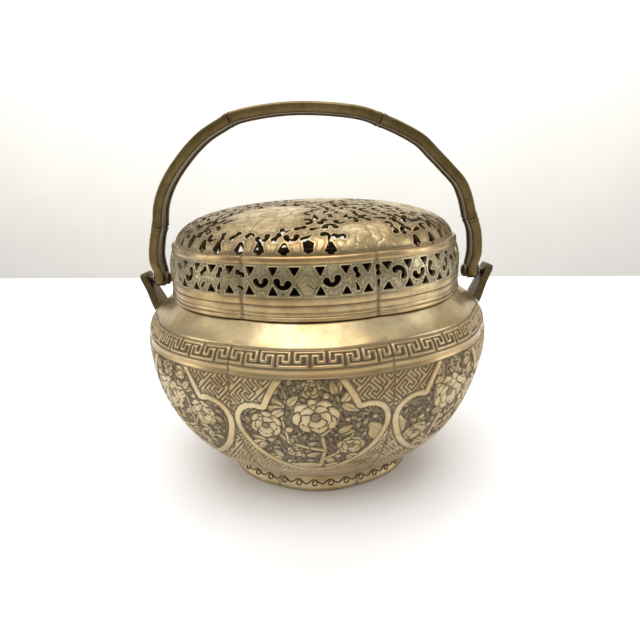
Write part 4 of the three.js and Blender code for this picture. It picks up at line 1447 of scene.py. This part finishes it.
sideLook = dict(lidLook, pale=(0.62, 0.52, 0.32), warm=(0.45, 0.36, 0.19), tarnish=(0.2, 0.16, 0.08))
sideBrass = brassMaterial(
    "sideBrass", sideLook, tarnish=0.45, lines=(lineLayer("cut", 0.72, 0.16), lineLayer("cut", 1.25, 0.14))
)
lidSideBand()
print("lid side made")

domeLook = {
    "step": 0.42, "margin": 44, "rowGap": 5.0, "pitch": 5.9, "hole": 5.6, "seed": 23,
    "medallions": (
        (-15, -38, 15, 9), (23, -57, 11, 8), (40, -10, 13, 8), (-47, 8, 12, 8), (-14, 38, 15, 9),
        (27, 40, 12, 8), (4, -4, 10, 8),
    ),
}


def lidDome():
    crown = lid["domeBase"] + lid["domeRise"]
    line = Profile(bezier(
        (0, crown), (lid["domeRadius"] - 27.6, crown - 0.1),
        (lid["domeRadius"] - 1.8, lid["domeBase"] + 11.4), (lid["domeRadius"], lid["domeBase"]), 160,
    ))
    reach = line.length
    step = domeLook["step"]
    wide = 2 * int(reach / step + 2) + 1
    origin = -(wide // 2) * step
    u, v = np.meshgrid(origin + np.arange(wide) * step, origin + np.arange(wide) * step, indexing="ij")
    rho = np.hypot(u, v)
    field = np.full(u.shape, 9.0)
    rng = np.random.default_rng(domeLook["seed"])
    scale = reach / lid["domeRadius"]
    medallions = [(x * scale, y * scale, r, count) for x, y, r, count in domeLook["medallions"]]

    def clear(cu, cv, extra):
        return all(math.hypot(cu - x, cv - y) > r + extra for x, y, r, _ in medallions)

    # Row of wedges along the margin, then curls and drops in rings
    for k in range(domeLook["margin"]):
        angle = 2 * math.pi * (k + rng.uniform(-0.1, 0.1)) / domeLook["margin"]
        low, high = reach - 1.5, reach - 4.9 + rng.uniform(-0.4, 0.4)
        if not clear((reach - 3) * math.sin(angle), -(reach - 3) * math.cos(angle), 1.6):
            continue
        flip = rng.uniform() < 0.3
        wide0, wide1 = (1.5, 1.9) if flip else (2.2, 0.5)
        corner = [(low, -wide0), (low, wide0), (high, wide1), (high, -wide1), (low, -wide0)]
        hole = [
            (r * math.sin(angle) + t * math.cos(angle), -r * math.cos(angle) + t * math.sin(angle), 0.3)
            for r, t in corner
        ]
        pierce(field, u, v, step, origin, origin, hole)
        inner = []
        for part, width in ((0.1, wide0 * 0.8), (0.5, (wide0 + wide1) / 2 * 0.85), (0.9, wide1 * 0.8)):
            out = low + (high - low) * part
            inner.append((out * math.sin(angle), -out * math.cos(angle), width))
        pierce(field, u, v, step, origin, origin, inner)
    rows = np.arange(reach - 7.6, 5, -domeLook["rowGap"])
    for k, radius in enumerate(rows):
        count = max(3, int(round(2 * math.pi * radius / domeLook["pitch"])))
        for i in range(count):
            angle = 2 * math.pi * (i + 0.5 * (k % 2) + rng.uniform(-0.1, 0.1)) / count
            out = radius + rng.uniform(-0.5, 0.5)
            cu, cv = out * math.sin(angle), -out * math.cos(angle)
            turn = rng.uniform(0, 2 * math.pi)
            size = domeLook["hole"] * rng.uniform(0.85, 1.1)
            kind = rng.choice(["curl", "curl", "comma", "dots", "dots", "drop"])
            if not clear(cu, cv, 1.3):
                continue
            shape = {
                "curl": curlHole(size, 3.0, 0.46, 0.3), "comma": commaHole(size * 1.1, rng.choice([-1, 1])),
                "dots": doubleDot(size), "drop": dropHole(size),
            }[kind]
            pierce(field, u, v, step, origin, origin, placedHole(shape, cu, cv, turn))
    relief = Relief(v, u)
    relief.height = -0.05 + 0.04 * fieldNoise(u, v, 1.3, 9)
    relief.oxideAndShade = 0.12 + 0.45 * smoothStep(fieldNoise(u, v, 1.2, 4), 0.15, 0.55)
    for number, (x, y, r, count) in enumerate(medallions):
        away = np.hypot(u - x, v - y)
        ground = smoothStep(r - away, -0.3, 0.5)
        relief.oxideAndShade = relief.oxideAndShade * (1 - ground) + (0.3 + 0.25 * fieldNoise(u, v, 1.6, number)) * ground
        relief.height = relief.height * (1 - ground) - 0.2 * ground
        relief.flower((y, x), r * 0.92, count, 0.4 * number + 0.2, 1.0, count - 2, 0.24)
        relief.oxideAndShade = np.where(away < r, relief.oxideAndShade * 0.62, relief.oxideAndShade)
    relief.height = np.clip(relief.height, -0.35, 0.2)
    for x, y, r, _ in medallions:
        relief.height = np.where(np.hypot(u - x, v - y) < r, relief.height * 0.4, relief.height)
    rim = smoothStep(rho, reach - 1.5, reach - 0.9)
    relief.oxideAndShade = relief.oxideAndShade * (1 - rim) + 0.5 * rim
    relief.height = relief.height * (1 - rim)
    # Painted shade along the creases, fading towards the crown
    theta = np.arctan2(u, -v)
    off = np.abs(theta / pitch - np.round(theta / pitch)) * 2
    crease = smoothStep((1 - off) * rho * pitch / 2, 0.8, 0.2) * smoothStep(rho, reach * 0.45, reach * 0.8)
    relief.oxideAndShade = np.maximum(relief.oxideAndShade, 0.5 * crease)
    field = np.minimum(field, reach - rho + 0.02)

    def place(spots, lift):
        x, y = origin + spots[:, 0] * step, origin + spots[:, 1] * step
        away = np.minimum(np.hypot(x, y), reach)
        angle = np.arctan2(x, -y)
        r, z = line.at(away)
        # Outward along the dome's own slope
        nr = -np.interp(away, line.along, line.outward[:, 0])
        nz = -np.interp(away, line.along, line.outward[:, 1])
        r = np.maximum(r + nr * lift, 0)
        z = np.maximum(z + nz * lift, lid["domeBase"])
        fade = np.clip(away / (0.35 * reach), 0, 1) ** 2
        share = lidCrease * fade
        scaleNow = 1 - share * (np.abs(angle - pitch * np.round(angle / pitch)) / (pitch / 2)) ** lobeFullness
        return np.stack([r * scaleNow * np.sin(angle), -r * scaleNow * np.cos(angle), z], -1)

    piece = piercedPlate(
        "lidDome", field, {"lift": relief.height, "oxideAndShade": relief.oxideAndShade, "cut": np.minimum(field, 9.0)},
        place, lid["wall"],
    )
    return finishPiece(piece, domeBrass, "lid", "lid_dome", slot="lid_brass")


domeBrass = brassMaterial(
    "domeBrass", lidLook, tarnish=0.35, lines=(lineLayer("cut", 0.72, 0.16), lineLayer("cut", 1.25, 0.14))
)
lidDome()
print("lid dome made")

# Bail handle

bail = {
    "face": 78.3, "thickness": 5.2, "tongueThickness": 5.0, "width": 12.4, "tongueWidth": 10.4, "crown": 1.4,
    "foot": ((0, -3.6), (0, 0), (0, 3), (0.6, 5.4), (1.1, 8), (1.1, 12)),
    "right": (
        (0.1, 20), (-2.4, 27), (-4.7, 35), (-7.9, 42), (-14.2, 49), (-20.7, 55.5), (-26.9, 61.5), (-36.4, 67),
        (-46.2, 71.4), (-55.4, 74.6),
    ),
    "left": (
        (-0.4, 20), (-2.5, 27), (-4, 35), (-6.8, 42), (-11.1, 49), (-16.5, 55.5), (-22.4, 61.5), (-29.3, 67),
        (-37.6, 71.5), (-44, 74.4),
    ),
    "top": (-8, 77.5), "joints": ((25.8, 25.8), (71.2, 73.6)), "swell": 0.12, "ring": 0.1, "ringApart": 0.7,
}


def between(low, high, x, a, b):
    # Blend of two points by where x lies between their knots
    return (high - x) / (high - low) * a + (x - low) / (high - low) * b


def smoothPath(points, steps=14):
    # Rounded path through the points, as the drawn handle follows it
    points = np.asarray(points, float)
    ends = np.vstack([2 * points[0] - points[1], points, 2 * points[-1] - points[-2]])
    run = []
    for k in range(1, len(ends) - 2):
        p = ends[k - 1:k + 3]
        t = np.concatenate([[0], np.cumsum(np.linalg.norm(np.diff(p, axis=0), axis=1) ** 0.5)])
        for x in np.linspace(t[1], t[2], steps, endpoint=False):
            a = [between(t[m], t[m + 1], x, p[m], p[m + 1]) for m in range(3)]
            b = [between(t[m], t[m + 2], x, a[m], a[m + 1]) for m in range(2)]
            run.append(between(t[1], t[2], x, b[0], b[1]))
    run.append(points[-1])
    return np.array(run)


def bailSection():
    # Crowned outside, sides drawn in a little, and a shallow channel inside
    section = []
    for k in range(17):
        turn = math.pi * k / 16
        section.append((math.cos(turn), bail["crown"] * (1 - math.sin(turn) ** 0.9), 0.0))
    section.append((-0.985, 4.6, 0.15))
    section.append((-0.9, bail["thickness"], 0.1))
    section += [(-0.66, bail["thickness"], 0.3), (-0.6, bail["thickness"] - 0.55, 0.75)]
    section += [
        (-0.3, bail["thickness"] - 0.7, 0.35), (0, bail["thickness"] - 0.7, 0.3),
        (0.3, bail["thickness"] - 0.7, 0.35)
    ]
    section += [
        (0.6, bail["thickness"] - 0.55, 0.75), (0.66, bail["thickness"], 0.3), (0.9, bail["thickness"], 0.1)
    ]
    section.append((0.985, 4.6, 0.15))
    return np.array(section)


def boreCutter(radius, near, far):
    work = bmesh.new()
    bmesh.ops.create_cone(work, cap_ends=True, segments=40, radius1=radius, radius2=radius, depth=far - near)
    mesh = bpy.data.meshes.new("bore")
    work.to_mesh(mesh)
    work.free()
    mesh.transform(Matrix.Rotation(math.pi / 2, 4, "Y"))
    mesh.transform(Matrix.Translation(((near + far) / 2, 0, pinHeight)))
    mesh.transform(Matrix.Scale(toMetres, 4))
    return shown("bore", mesh)


def cutAway(piece, cutter):
    modifier = piece.modifiers.new("cut", "BOOLEAN")
    modifier.operation = "DIFFERENCE"
    modifier.solver = "EXACT"
    modifier.object = cutter
    graph = bpy.context.evaluated_depsgraph_get()
    mesh = bpy.data.meshes.new_from_object(piece.evaluated_get(graph))
    piece.modifiers.remove(modifier)
    old = piece.data
    mesh.name = old.name + "Cut"
    piece.data = mesh
    bpy.data.meshes.remove(old)
    bpy.data.objects.remove(cutter)


def cutBore(piece, radius, near, far):
    cutAway(piece, boreCutter(radius, near, far))


def bailHandle():
    def leg(side, upper):
        return [(side * (bail["face"] + out), pinHeight + rise) for out, rise in (*bail["foot"], *upper)]

    path = smoothPath(
        leg(1, bail["right"]) + [(bail["top"][0], pinHeight + bail["top"][1])] + leg(-1, bail["left"])[::-1]
    )
    along = np.concatenate([[0], np.cumsum(np.linalg.norm(np.diff(path, axis=0), axis=1))])
    top = int(np.argmax(path[:, 1]))
    joints = []
    for right, left in bail["joints"]:
        joints.append(np.interp(pinHeight + right, path[:top + 1, 1], along[:top + 1]))
        joints.append(np.interp(-(pinHeight + left), -path[top:, 1], along[top:]))
    near = [joint + offset for joint in joints for offset in np.arange(-3.3, 3.31, 0.22)]
    even = [s for s in np.arange(0, along[-1], 1.3) if min(abs(s - joint) for joint in joints) > 3.3]
    ends = [0.35, 0.8, along[-1] - 0.8, along[-1] - 0.35]
    stations = np.array(sorted([0.0, along[-1], *near, *even[1:], *ends]))
    x, z = np.interp(stations, along, path[:, 0]), np.interp(stations, along, path[:, 1])
    slope = np.gradient(path, along, axis=0)
    sx, sz = np.interp(stations, along, slope[:, 0]), np.interp(stations, along, slope[:, 1])
    size = np.hypot(sx, sz)
    inward = np.stack([-sz / size, np.zeros(len(stations)), sx / size], -1)
    overTongue = z - pinHeight - 3
    grown = smoothStep(overTongue, 0, 5.2)
    swell = np.zeros(len(stations))
    oxideAndShade = np.zeros(len(stations))
    for joint in joints:
        away = np.abs(stations - joint)
        swell += bail["swell"] * smoothStep(away, 3.2, 1.0)
        for side in (-1, 1):
            ring = np.abs(stations - joint - side * bail["ringApart"])
            swell += bail["ring"] * smoothStep(ring, 0.75, 0.2)
            groove = np.abs(stations - joint - side * (bail["ringApart"] + 0.75))
            oxideAndShade = np.maximum(oxideAndShade, 0.6 * smoothStep(groove, 0.4, 0.1))
        swell -= 0.3 * smoothStep(away, 0.5, 0.1)
        oxideAndShade = np.maximum(oxideAndShade, 0.8 * smoothStep(away, 0.45, 0.1))
    half = (bail["tongueWidth"] + (bail["width"] - bail["tongueWidth"]) * grown) / 2 + swell
    thick = (
        bail["tongueThickness"] + (bail["thickness"] - bail["tongueThickness"]) * grown + 2 * swell
    ) / bail["thickness"]
    # Ends rounded and closed at a point
    endWay = np.minimum(stations, along[-1] - stations)
    rounding = np.sqrt(np.clip(1 - (1 - np.clip(endWay / 2.2, 0, 1)) ** 2, 0, 1))
    half = half * rounding
    thick = thick * smoothStep(rounding, 0, 0.35)
    thick[[0, -1]] = 0
    half[[0, -1]] = 0
    section = bailSection()
    verts = np.concatenate([section * [1 / toMetres, 1, 0], np.stack([x, np.zeros(len(x)), z], -1)])
    pad = np.zeros(len(section))
    piece = grownFrom("bailHandle", verts, {
        "oxideAndShade": np.concatenate([section[:, 2], oxideAndShade]),
        "inward": np.concatenate([np.zeros((len(section), 3)), inward]),
        "wide": np.concatenate([pad, half * toMetres]), "thick": np.concatenate([pad, thick]),
        "middle": np.concatenate([pad, np.full(len(x), bail["thickness"] / 2 * toMetres)]),
    }, barTree, {"Stations": len(stations), "Corners": len(section), "Material": handleBrass})
    turnFaces(piece)
    cutBore(piece, pin["radius"] + pin["gap"], bail["face"] - 12, bail["face"] + 4)
    cutBore(piece, pin["radius"] + pin["gap"], -bail["face"] - 4, -bail["face"] + 12)
    piece.data.set_sharp_from_angle(angle=math.radians(42))
    return finishPiece(piece, handleBrass, "bail", "bail_handle", slot="dark_brass")


pin = {
    "radius": 1.6, "gap": 0.3, "head": 3.1, "headIn": 0.3, "headProud": 2.3, "washer": 2.7,
    "washerThick": 0.6
}
bailHandle()
print("handle made")

# Lugs, pins and washers

lug = {
    "tip": (78.67, 76.44), "faceAtPin": 84.3, "thickness": 3.4, "headroom": 2.6, "base": 14.0, "top": 10.0,
    "shoulder": 9.5, "corner": 2.5, "root": 5.0, "bevel": 0.55, "gap": 0.3,
    "boreSpan": (74, 96), "cutFrom": 60, "cutInner": 50.0,
}


def lugPiece(side):
    lean = math.atan2(lug["faceAtPin"] - lug["tip"][0], pinHeight - lug["tip"][1])
    length = (pinHeight - lug["tip"][1]) / math.cos(lean) + lug["headroom"]
    base, top = lug["base"] / 2, lug["top"] / 2
    outline = [
        (base, 0), (base - 0.15, 3.0), (top + 0.4, lug["shoulder"] - 1.2), (top, lug["shoulder"] + 0.5)
    ]
    cornerUp = length - lug["corner"]
    for k in range(9):
        turn = math.pi / 2 * k / 8
        outline.append(
            (top - lug["corner"] + lug["corner"] * math.cos(turn), cornerUp + lug["corner"] * math.sin(turn))
        )
    outline = outline + [(-a, b) for a, b in outline[::-1]]
    outline = [(a, b if b > 0 else -lug["root"]) for a, b in outline]
    work = bmesh.new()
    far = [work.verts.new((0, a, b)) for a, b in outline]
    near = [work.verts.new((-lug["thickness"], a, b)) for a, b in outline]
    work.faces.new(far)
    work.faces.new(near[::-1])
    count = len(outline)
    for k in range(count):
        n = (k + 1) % count
        work.faces.new((far[n], far[k], near[k], near[n]))
    bmesh.ops.recalc_face_normals(work, faces=work.faces)
    rim = [e for e in work.edges if len({round(v.co.x, 3) for v in e.verts}) == 1]
    bmesh.ops.bevel(work, geom=rim, offset=lug["bevel"], segments=3, profile=0.6, affect="EDGES")
    mesh = bpy.data.meshes.new(f"lug{side}")
    work.to_mesh(mesh)
    work.free()
    mesh.transform(Matrix.Rotation(lean, 4, "Y"))
    mesh.transform(Matrix.Translation((lug["tip"][0], 0, lug["tip"][1])))
    mesh.transform(Matrix.Scale(toMetres, 4))
    piece = shown(f"lug{side}", mesh)
    cutBore(piece, pin["radius"] + pin["gap"], *lug["boreSpan"])
    cutToShoulder(piece)
    if side == "Left":
        piece.data.transform(Matrix.Rotation(math.pi, 4, "Z"))
    piece.data.shade_smooth()
    piece.data.set_sharp_from_angle(angle=math.radians(35))
    # Painted shade on the lug's inward face, and darker towards its root on the shoulder
    dark = []
    for v in piece.data.vertices:
        x, _, z = (c / toMetres for c in v.co)
        inner = (lug["tip"][0] + (z - lug["tip"][1]) * math.tan(lean)) - abs(x)
        dark.append(0.75 * smoothStep(inner, 2.2, 3.3) + 0.5 * smoothStep(z, 80, 77))
    addLayer(piece.data, "oxideAndShade", dark)
    return finishPiece(piece, lugBrass, "bowl", f"lug_{side.lower()}", slot="dark_brass")


def cutToShoulder(piece):
    # Takes away the part of a lug that would lie inside the bowl's wall
    s = np.linspace(float(bowlProfile.ofHeight(lug["cutFrom"])), bowlProfile.length, 40)
    r, z = bowlProfile.at(s)
    section = [(a + lug["gap"], b + lug["gap"], 0.0) for a, b in zip(r, z)]
    section += [(lug["cutInner"], section[-1][1], 0.0), (lug["cutInner"], section[0][1], 0.0)]
    cutAway(piece, ringPiece("shoulderCutter", section, lugBrass, None, None, None, bodyCrease, 256))


def pinAxisPiece(name, section, material, side, node, slot):
    points = [(r, 0, z) for r, z, _ in section]
    piece = grownFrom(name, points, {"oxideAndShade": [o for _, _, o in section]}, ringTree, {
        "Columns": 48, "Rows": len(section), "Lobes": 8.0, "Crease": 0.0, "Fullness": 2.0, "Crease Shade": 0.0,
        "Material": material,
    })
    piece.data.transform(Matrix.Rotation(math.pi / 2, 4, "Y"))
    piece.data.transform(Matrix.Translation((0, 0, pinHeight * toMetres)))
    if side == "Left":
        piece.data.transform(Matrix.Rotation(math.pi, 4, "Z"))
    turnFaces(piece)
    piece.data.set_sharp_from_angle(angle=math.radians(40))
    return finishPiece(piece, material, "bowl", node, slot=slot)


pinLook = dict(handleLook, pale=(0.24, 0.19, 0.11), warm=(0.16, 0.12, 0.07), tarnish=(0.06, 0.055, 0.04))
pinBrass = brassMaterial("pinBrass", pinLook, tarnish=0.5, grime=0.2)
washerLook = dict(
    brassLook, pale=(0.45, 0.44, 0.41), warm=(0.38, 0.35, 0.3), tarnish=(0.2, 0.18, 0.14), roughness=0.4,
)
washerMetal = brassMaterial("washerMetal", washerLook, tarnish=0.4, grime=0.1)


def pinSection():
    face = bail["face"] - bail["tongueThickness"] - pin["headIn"]
    end = lug["faceAtPin"] + 0.3
    section = [(0.0, face - pin["headProud"], 0.1)]
    for k in range(1, 7):
        turn = math.pi / 2 * k / 6
        section.append(
            (
                pin["head"] * math.sin(turn), face - 0.5 - (pin["headProud"] - 0.5) * math.cos(turn),
                0.1 + 0.05 * k
            )
        )
    section += [(pin["head"], face - 0.25, 0.5), (pin["head"] - 0.25, face, 0.8), (pin["radius"], face, 0.8)]
    section += [
        (pin["radius"], face + 6, 0.4), (pin["radius"], end - 0.3, 0.3), (pin["radius"] - 0.3, end, 0.1),
        (0.0, end, 0.1)
    ]
    return section


def washerSection():
    start = bail["face"] + 0.3
    end = start + pin["washerThick"]
    bore = pin["radius"] + pin["gap"]
    outer = pin["washer"]
    return [
        (bore, start, 0.5), (outer - 0.15, start, 0.3), (outer, start + 0.15, 0.1), (outer, end - 0.15, 0.1),
        (outer - 0.15, end, 0.3), (bore, end, 0.5),
    ]


for side in ("Right", "Left"):
    lugPiece(side)
    pinAxisPiece(f"pivotPin{side}", pinSection(), pinBrass, side, f"pivot_pin_{side.lower()}", "dark_brass")
    pinAxisPiece(
        f"spacerWasher{side}", washerSection(), washerMetal, side, f"spacer_washer_{side.lower()}",
        "washer_metal"
    )
print("lugs, pins and washers made")

# Camera and stage
eye = {
    "distance": 255.0, "elevation": 17.596, "azimuth": 2.07, "roll": -1.948, "focal": 501.85,
    "shift": (0.005, 0.0226)
}


def makeCamera():
    e, a, roll = (math.radians(eye[k]) for k in ("elevation", "azimuth", "roll"))
    back = Vector((math.sin(a) * math.cos(e), -math.cos(a) * math.cos(e), math.sin(e)))
    right = Vector((math.cos(a), math.sin(a), 0))
    up = back.cross(right)
    turnedRight = right * math.cos(roll) + up * math.sin(roll)
    turnedUp = -right * math.sin(roll) + up * math.cos(roll)
    data = bpy.data.cameras.new("camera")
    camera = bpy.data.objects.new("camera", data)
    bpy.context.scene.collection.objects.link(camera)
    matrix = Matrix.Identity(4)
    for i in range(3):
        matrix[i][0], matrix[i][1], matrix[i][2] = turnedRight[i], turnedUp[i], back[i]
    place = Vector((0, 0, 60)) * toMetres + back * eye["distance"] * toMetres
    matrix.translation = place
    camera.matrix_world = matrix
    data.sensor_width = 36
    data.lens = eye["focal"] / 640 * 36
    data.shift_x, data.shift_y = eye["shift"]
    data.clip_start, data.clip_end = 0.01, 10
    data.dof.use_dof = False
    bpy.context.scene.camera = camera


makeCamera()

stage = {
    "backLeft": 631.0, "backRight": 277.0, "tableHalf": 1500.0, "tableFront": -900.0, "wallBack": 900.0,
    "wallHeight": 1500.0, "wallFoot": -600, "tableColour": (0.9, 0.9, 0.91),
    "wallColour": (0.88, 0.86, 0.81),
}


def stagePlane(name, corners, colour, roughness):
    piece = meshPiece(name, corners, [(0, 1, 2, 3)])
    n = Nodes(name)
    cloud = n.noise(180, 3, 0.5)
    tint = tuple(c * 0.97 for c in colour)
    n.link(n.mix(n.ramp(cloud, 0.35, 0.65), colour, tint), n.shader.inputs["Base Color"])
    n.shader.inputs["Roughness"].default_value = roughness
    n.link(n.bump(n.noise(2.0, 2), 0.01, 0.2), n.shader.inputs["Normal"])
    piece.data.materials.append(n.material)


half, front, back = stage["tableHalf"], stage["tableFront"], stage["wallBack"]
stagePlane("table", [
    (-half, front, 0), (half, front, 0), (half, stage["backRight"], 0), (-half, stage["backLeft"], 0),
], stage["tableColour"], 0.45)
stagePlane("wall", [
    (-half, back, stage["wallFoot"]), (half, back, stage["wallFoot"]),
    (half, back, stage["wallHeight"]), (-half, back, stage["wallHeight"]),
], stage["wallColour"], 0.8)


def areaLight(name, place, aim, size, power, colour=(1, 1, 1)):
    data = bpy.data.lights.new(name, "AREA")
    data.shape = "RECTANGLE"
    data.size, data.size_y = (v * toMetres for v in size)
    data.energy = power
    data.color = colour
    light = bpy.data.objects.new(name, data)
    light.location = Vector(place) * toMetres
    way = Vector(aim) * toMetres - light.location
    light.rotation_mode = "QUATERNION"
    light.rotation_quaternion = way.to_track_quat("-Z", "Y")
    bpy.context.scene.collection.objects.link(light)


areaLight("lightTop", (-60, -380, 1000), (0, 0, 60), (1100, 800), 9.5, (1, 0.99, 0.97))
areaLight("lightFront", (150, -1300, 260), (0, 0, 50), (1400, 500), 0.6, (1, 0.96, 0.9))
areaLight("lightLeft", (-1100, -200, 450), (0, 0, 60), (500, 800), 3.4, (0.97, 0.98, 1))
areaLight("lightRight", (1100, -100, 450), (0, 0, 60), (500, 800), 3.6, (0.97, 0.98, 1))
areaLight("lightWall", (0, 400, 900), (0, 900, 300), (1500, 400), 7, (1, 0.99, 0.96))

world = bpy.data.worlds.new("room")
bpy.context.scene.world = world
world.use_nodes = True
world.node_tree.nodes["Background"].inputs["Color"].default_value = (0.95, 0.95, 0.95, 1)
world.node_tree.nodes["Background"].inputs["Strength"].default_value = 0.42
bpy.context.scene.view_settings.view_transform = "Standard"
print("camera, stage and lights made")
